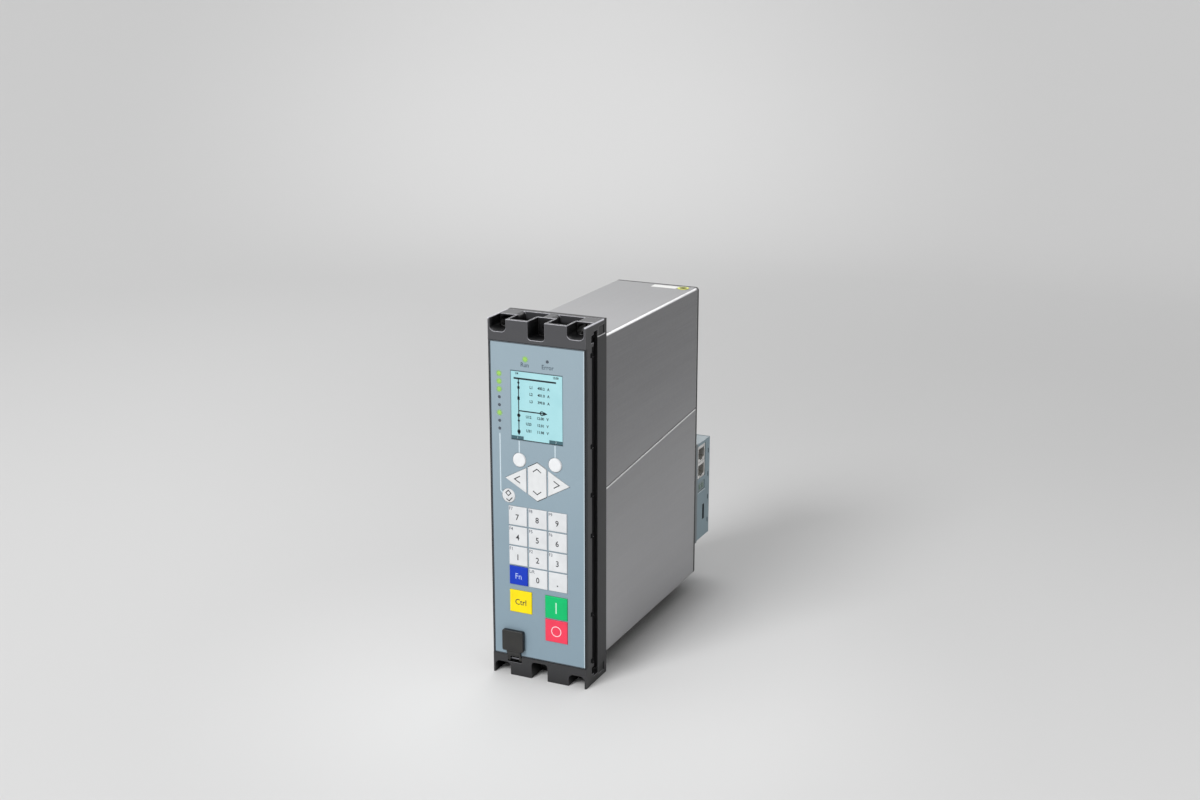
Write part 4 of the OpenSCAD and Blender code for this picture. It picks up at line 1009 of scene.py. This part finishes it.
for side, x in (("left", -soft_key_x), ("right", soft_key_x)):
    work = bmesh.new()
    loops = []
    for i in range(cap_rings):
        turn = 0.5 * math.pi * i / cap_rings
        rim = circle(x, soft_key_z, cap_r * math.cos(turn), cap_steps)
        loops.append(loop_on(work, front_sheet(key_y - cap_rise * math.sin(turn)), rim))
    loops.append(loop_on(work, front_sheet(key_y - cap_rise), [(x, soft_key_z)]))
    skin(work, loops, True)
    hang(mesh_from(work, "soft_key_%s_cap" % side, soft_cap), "soft_key_%s_body" % side)
print("two domes")

# %% [markdown]
# ## Contacts in the jacks
# Each jack of the module holds eight gold spring wires that slope into the plug room. A wire is a thin
# bent strip. It is drawn as a profile in the x-z plane and given its width along y, eight times per
# jack, at the pitch that such plugs have.

# %% Spring contacts
def bent_strip(work, path, thick, y, wide):
    """A strip of metal along the path (x, z), thick in the plane of the bend, wide along y."""
    corners = stroke(path, thick)[0]
    near, far = [loop_on(work, front_sheet(y + side * wide / 2), corners) for side in (-1, 1)]
    crossings = [(near[i], near[i + 1], far[i + 1], far[i]) for i in range(0, len(corners), 2)]
    skin(work, crossings)
    for end in (crossings[0], crossings[-1]):
        work.faces.new(end)


def piece_from(work, name, body, paint):
    """A solid piece, with its faces turned outwards."""
    bmesh.ops.recalc_face_normals(work, faces=work.faces[:])
    hang(mesh_from(work, name, paint), body)


jack_y, jack_middles, wire_pitch = 193, (-21.25, -35.35), 1.02
gold = metal("gold_contact", ink(226, 206, 160), 0.28, 0.002)
work = bmesh.new()
for z in jack_middles:
    path = [(21.3, z + 1.2), (23.4, z + 0.4), (30.4, z + 3.3), (31.4, z + 3.9)]
    for wire in range(8):
        bent_strip(work, path, 0.3, jack_y + (wire - 3.5) * wire_pitch, 0.5)
piece_from(work, "jack_contacts", "relay", gold)
print("sixteen spring contacts")

# %% [markdown]
# ## Behind the module's openings
# Below the jacks a window shows the carrier of the module's two line lamps: a pale block that closes the
# window, with two dull green lenses on it and, under it, a bright strip that is the painted highlight of
# the window's lower edge. Behind the slot further down sits a dark latch, and behind the four slits the
# dark hooks of the cover; they are near black blocks that paint the shade in the slot and the slits. A
# block is a box whose edges are bevelled, so that they catch the light like a moulding. It could be one
# cube with a bevel modifier, but a helper that adds soft boxes to one mesh lets several of them share a
# piece.

# %% Lamp carrier
def soft_box(work, low, high, bevel):
    made = bmesh.ops.create_cube(work, size=1.0)["verts"]
    middle = [(a + b) / 2 * MM for a, b in zip(low, high)]
    size = [(b - a) * MM for a, b in zip(low, high)]
    for v in made:
        v.co = Vector([m + c * s for m, c, s in zip(middle, v.co, size)])
    edges = list({e for v in made for e in v.link_edges})
    bmesh.ops.bevel(work, geom=edges, offset=bevel * MM, segments=2, affect="EDGES", profile=0.6)


def blocks(name, boxes, paint):
    work = bmesh.new()
    for low, high, bevel in boxes:
        soft_box(work, low, high, bevel)
    piece_from(work, name, "relay", paint)


carrier_moulding = moulding("carrier_moulding", ink(120, 138, 140), 0.4, 1.2)
lamp_lens = moulding("lamp_lens", ink(88, 114, 100), 0.25, 1.3, 0.002)
# A pale strip that paints the highlight of the window's lower edge.
sill_highlight = moulding("sill_highlight", ink(190, 204, 210), 0.35, 1.1)
lenses = [((33.4, y - 1.7, -51.8), (33.95, y + 1.7, -47.6), 0.25) for y in (190.0, 195.8)]
blocks("lamp_carrier", [((26.0, 185.9, -53.3), (33.7, 200.1, -45.9), 0.3)], carrier_moulding)
blocks("line_lamps", lenses, lamp_lens)
blocks("window_edge_highlight", [((33.8, 185.4, -54.5), (34.1, 200.6, -53.75), 0.1)], sill_highlight)
print("lamp carrier with two lenses and a sill")

# %% Latch and hooks
# Near black blocks behind the slot and slits: painted shade where the latch and the cover's hooks sit.
slit_middles = [-53.4 + (slit - 1.5) * 20.1 for slit in range(4)]
hooks = [((32.9, 206.9, z - 2.0), (33.85, 208.5, z + 2.0), 0.1) for z in slit_middles]
latch = ((32.0, 196.3, -79.9), (33.85, 200.3, -66.9), 0.15)
latch_shade = moulding("latch_shade", ink(20, 25, 30), 0.8, 1.1, ior=1.15)
blocks("latch_and_hooks_in_shade", [latch] + hooks, latch_shade)
print("latch and four hooks")

# %% [markdown]
# ## Terminal numbers
# On the rear, every terminal has a number so that an installer can find it. The numbers are printed in
# white on the barriers between the bays and beside the plug holes. Seen from behind, left and right are
# swapped, which the rear sheet takes care of.

# %% Rear printing
white_ink = printing_ink("white_ink", ink(244, 246, 248))
current_y, pole_y, pole_count, pole_pitch = 199.03, 195.03, 14, 6.5
current_rows = [59 + (row - 1.5) * 23 for row in range(4)]
numbers = []
for row, z in enumerate(reversed(current_rows)):
    numbers.append(word(str(row * 2 + 1), 12.3, z + 10.4, 1.2))
print_on("current_numbers", "relay", rear_sheet(current_y), (white_ink, numbers))

pole_numbers = []
for x, z in ((14.3, 59), (-25.3, -55), (-8.7, -55)):
    for pole in range(pole_count):
        height = z + ((pole_count - 1) / 2 - pole) * pole_pitch + 2.6
        pole_numbers.append(word(str(pole + 1), -x, height, 1.3))
print_on("pole_numbers", "relay", rear_sheet(pole_y), (white_ink, pole_numbers))
print("numbers on the rear", len(numbers) + len(pole_numbers))

# %% [markdown]
# ## Earth sign
# The yellow ring carries a dark circle round the tapped hole, the usual look of an earth mark. It is
# printed on the sticker. In the hole the thread shows: a tube whose wall goes in and out by the depth of
# the thread, one ridge for each turn, painted near black, the shade down the hole. A true helix could be
# drawn, but rings look the same at this size.

# %% Earth ring and thread
earth_x, earth_y, mark_z, hole_r = 26.1, 167.4, 120.33, 1.6
thread_top, thread_step, thread_depth = 120.25, 0.25, 0.15
olive_ink = printing_ink("olive_ink", ink(58, 55, 14))
print_on("earth_ring", "relay", top_sheet(mark_z), (olive_ink, [ring(earth_x, earth_y, 2.25, 1.2)]))

work = bmesh.new()
coils = []
for ridge in range(15):
    coil = circle(earth_x, earth_y, hole_r - thread_depth * (ridge % 2), 32)
    coils.append(loop_on(work, top_sheet(thread_top - thread_step * ridge), coil))
skin(work, coils)
# The thread is painted near black: the shade down the hole.
piece_from(work, "earth_thread", "relay", metal("thread_in_shade", ink(24, 22, 10), 0.5, 0.002, 0.4))
print("earth ring and a thread of", len(coils) // 2, "turns")

# %% [markdown]
# ## Floor and backdrop
# A studio uses paper that lies on the table and sweeps up behind the object, so that no horizon shows.
# This object is looked at from all sides, so the paper here sweeps up all round, like a shallow bowl. It
# is a lathe shape: a profile, flat in the middle and curved outside, turned round the vertical axis.
# Light and shade are painted on the paper: it is palest round the object and greyer outwards, a painted
# falloff of light; behind the object it carries a painted shadow; and one paler field high up at the back
# left is a painted pool of light from a lamp on the backdrop. Paper close under the object sees little of
# the room; ambient occlusion finds it and deepens the shadow there.

# %% Paper bowl
floor_z, flat_r, bend_r, rise_turn = -133.0, 1500.0, 1300.0, 80
rise_steps, turn_steps = 20, 96


def paper_paint(net):
    x, y = axes(net, "XY")
    def away(u, v):
        return net.sum("SQRT", (x - u) * (x - u) + (y - v) * (y - v))
    clouds = spots(net, 400)
    near = mix(net, clouds, ink(229, 229, 229), ink(232, 232, 232))
    # Painted falloff of light outwards, a painted shadow behind the object, a painted pool of light at the
    # back left.
    reach = away(30, -30)
    outward_falloff = 0.7 * reach.ramp(30, 330) + 0.3 * reach.ramp(300, 1500)
    falloff_graded = mix(net, outward_falloff, near, ink(205, 205, 205))
    shadow_behind = mix(net, 0.55 * (1 - away(150, 850).ramp(100, 1000)), falloff_graded, ink(180, 180, 180))
    pooled = mix(net, 0.8 * (1 - away(-900, 1900).ramp(100, 900)), shadow_behind, ink(228, 228, 228))
    open_sky = net.node("AmbientOcclusion", {"samples": 1}, {"Distance": 32 * MM}, out="AO")
    covered = (1 - open_sky) * y.ramp(-10, 30)
    return {
        "Base Color": mix(net, 0.9 * covered, pooled, ink(60, 60, 60)),
        "Roughness": 0.85 + 0.08 * clouds,
    }


work = bmesh.new()
rims = []
for i in range(rise_steps + 1):
    turn = math.radians(rise_turn * i / rise_steps)
    rim = circle(0, 0, flat_r + bend_r * math.sin(turn), turn_steps)
    rims.append(loop_on(work, top_sheet(floor_z + bend_r - bend_r * math.cos(turn)), rim))
work.faces.new(rims[0])
skin(work, rims[::-1], True)
mesh = mesh_from(work, "paper_bowl", finish("backdrop_paper", paper_paint))
bowl = bpy.data.objects.new("paper_bowl", mesh)
bpy.context.collection.objects.link(bowl)
print("paper", len(mesh.polygons), "faces")

# %% [markdown]
# ## Light
# The picture is lit by one large soft lamp far off in front and a little to the left, a weak one above
# and behind, and an even grey surround that fills the shadows. The shadow falls backwards, and the right
# side gets only the surround, so it stays darker than the front and shows the shape. Two white cards
# behind the object are seen only in reflections: one adds to the bright line along the housing's folded
# edge, which is also a painted highlight, and to the glints on the black moulding; a dim one lightens the
# housing's top, as studio cards do.

# %% Lamps, cards and surround
def lamp(name, spot, aim, wide, tall, power):
    light = bpy.data.lights.new(name, "AREA")
    light.shape = "ELLIPSE" if name.endswith("lamp") else "RECTANGLE"
    light.size = wide
    light.size_y = tall
    light.energy = power
    holder = bpy.data.objects.new(name, light)
    holder.location = spot
    holder.rotation_euler = (Vector(aim) - Vector(spot)).to_track_quat("-Z", "Y").to_euler()
    holder.visible_camera = False
    bpy.context.collection.objects.link(holder)
    return holder


lamp("key_lamp", (-1.1, -3.7, 3.4), (0, 0, 0), 2.2, 2.2, 168)
lamp("top_lamp", (-0.5, 1.0, 2.2), (0, 0.1, 0), 1.4, 1.4, 10)
cards = [lamp("rear_card", (0.55, 2.0, 1.15), (0, 0.05, 0.1), 0.9, 0.8, 6),
         lamp("top_card", (-0.85, 2.0, 0.62), (0, 0.05, 0.1), 1.6, 0.5, 3)]
for card in cards:
    card.visible_diffuse = False
world = bpy.data.worlds.new("surround")
bpy.context.scene.world = world
world.use_nodes = True
surround = world.node_tree.nodes["Background"].inputs
surround["Color"].default_value = (1.0, 1.0, 1.0, 1.0)
surround["Strength"].default_value = 0.52
print("two lamps,", len(cards), "cards and a surround")

# %% [markdown]
# ## Camera
# The camera stands to the right of the front and a little above, as in the picture, with a lens of about
# fifty millimetres. The aim follows from the two angles, so nothing has to be pointed by eye.

# %% Camera
tilt, turn = 15.92, 25.05
lens = bpy.data.cameras.new("camera")
lens.lens = 50.48
lens.sensor_width = 36.0
lens.sensor_fit = "HORIZONTAL"
lens.clip_start = 0.05
camera = bpy.data.objects.new("camera", lens)
camera.location = (0.5130, -1.0281, 0.3970)
camera.rotation_euler = (math.radians(90 - tilt), 0.0, math.radians(turn))
bpy.context.collection.objects.link(camera)
scene = bpy.context.scene
scene.camera = camera
scene.view_settings.view_transform = "Standard"
print("camera at", tuple(camera.location))
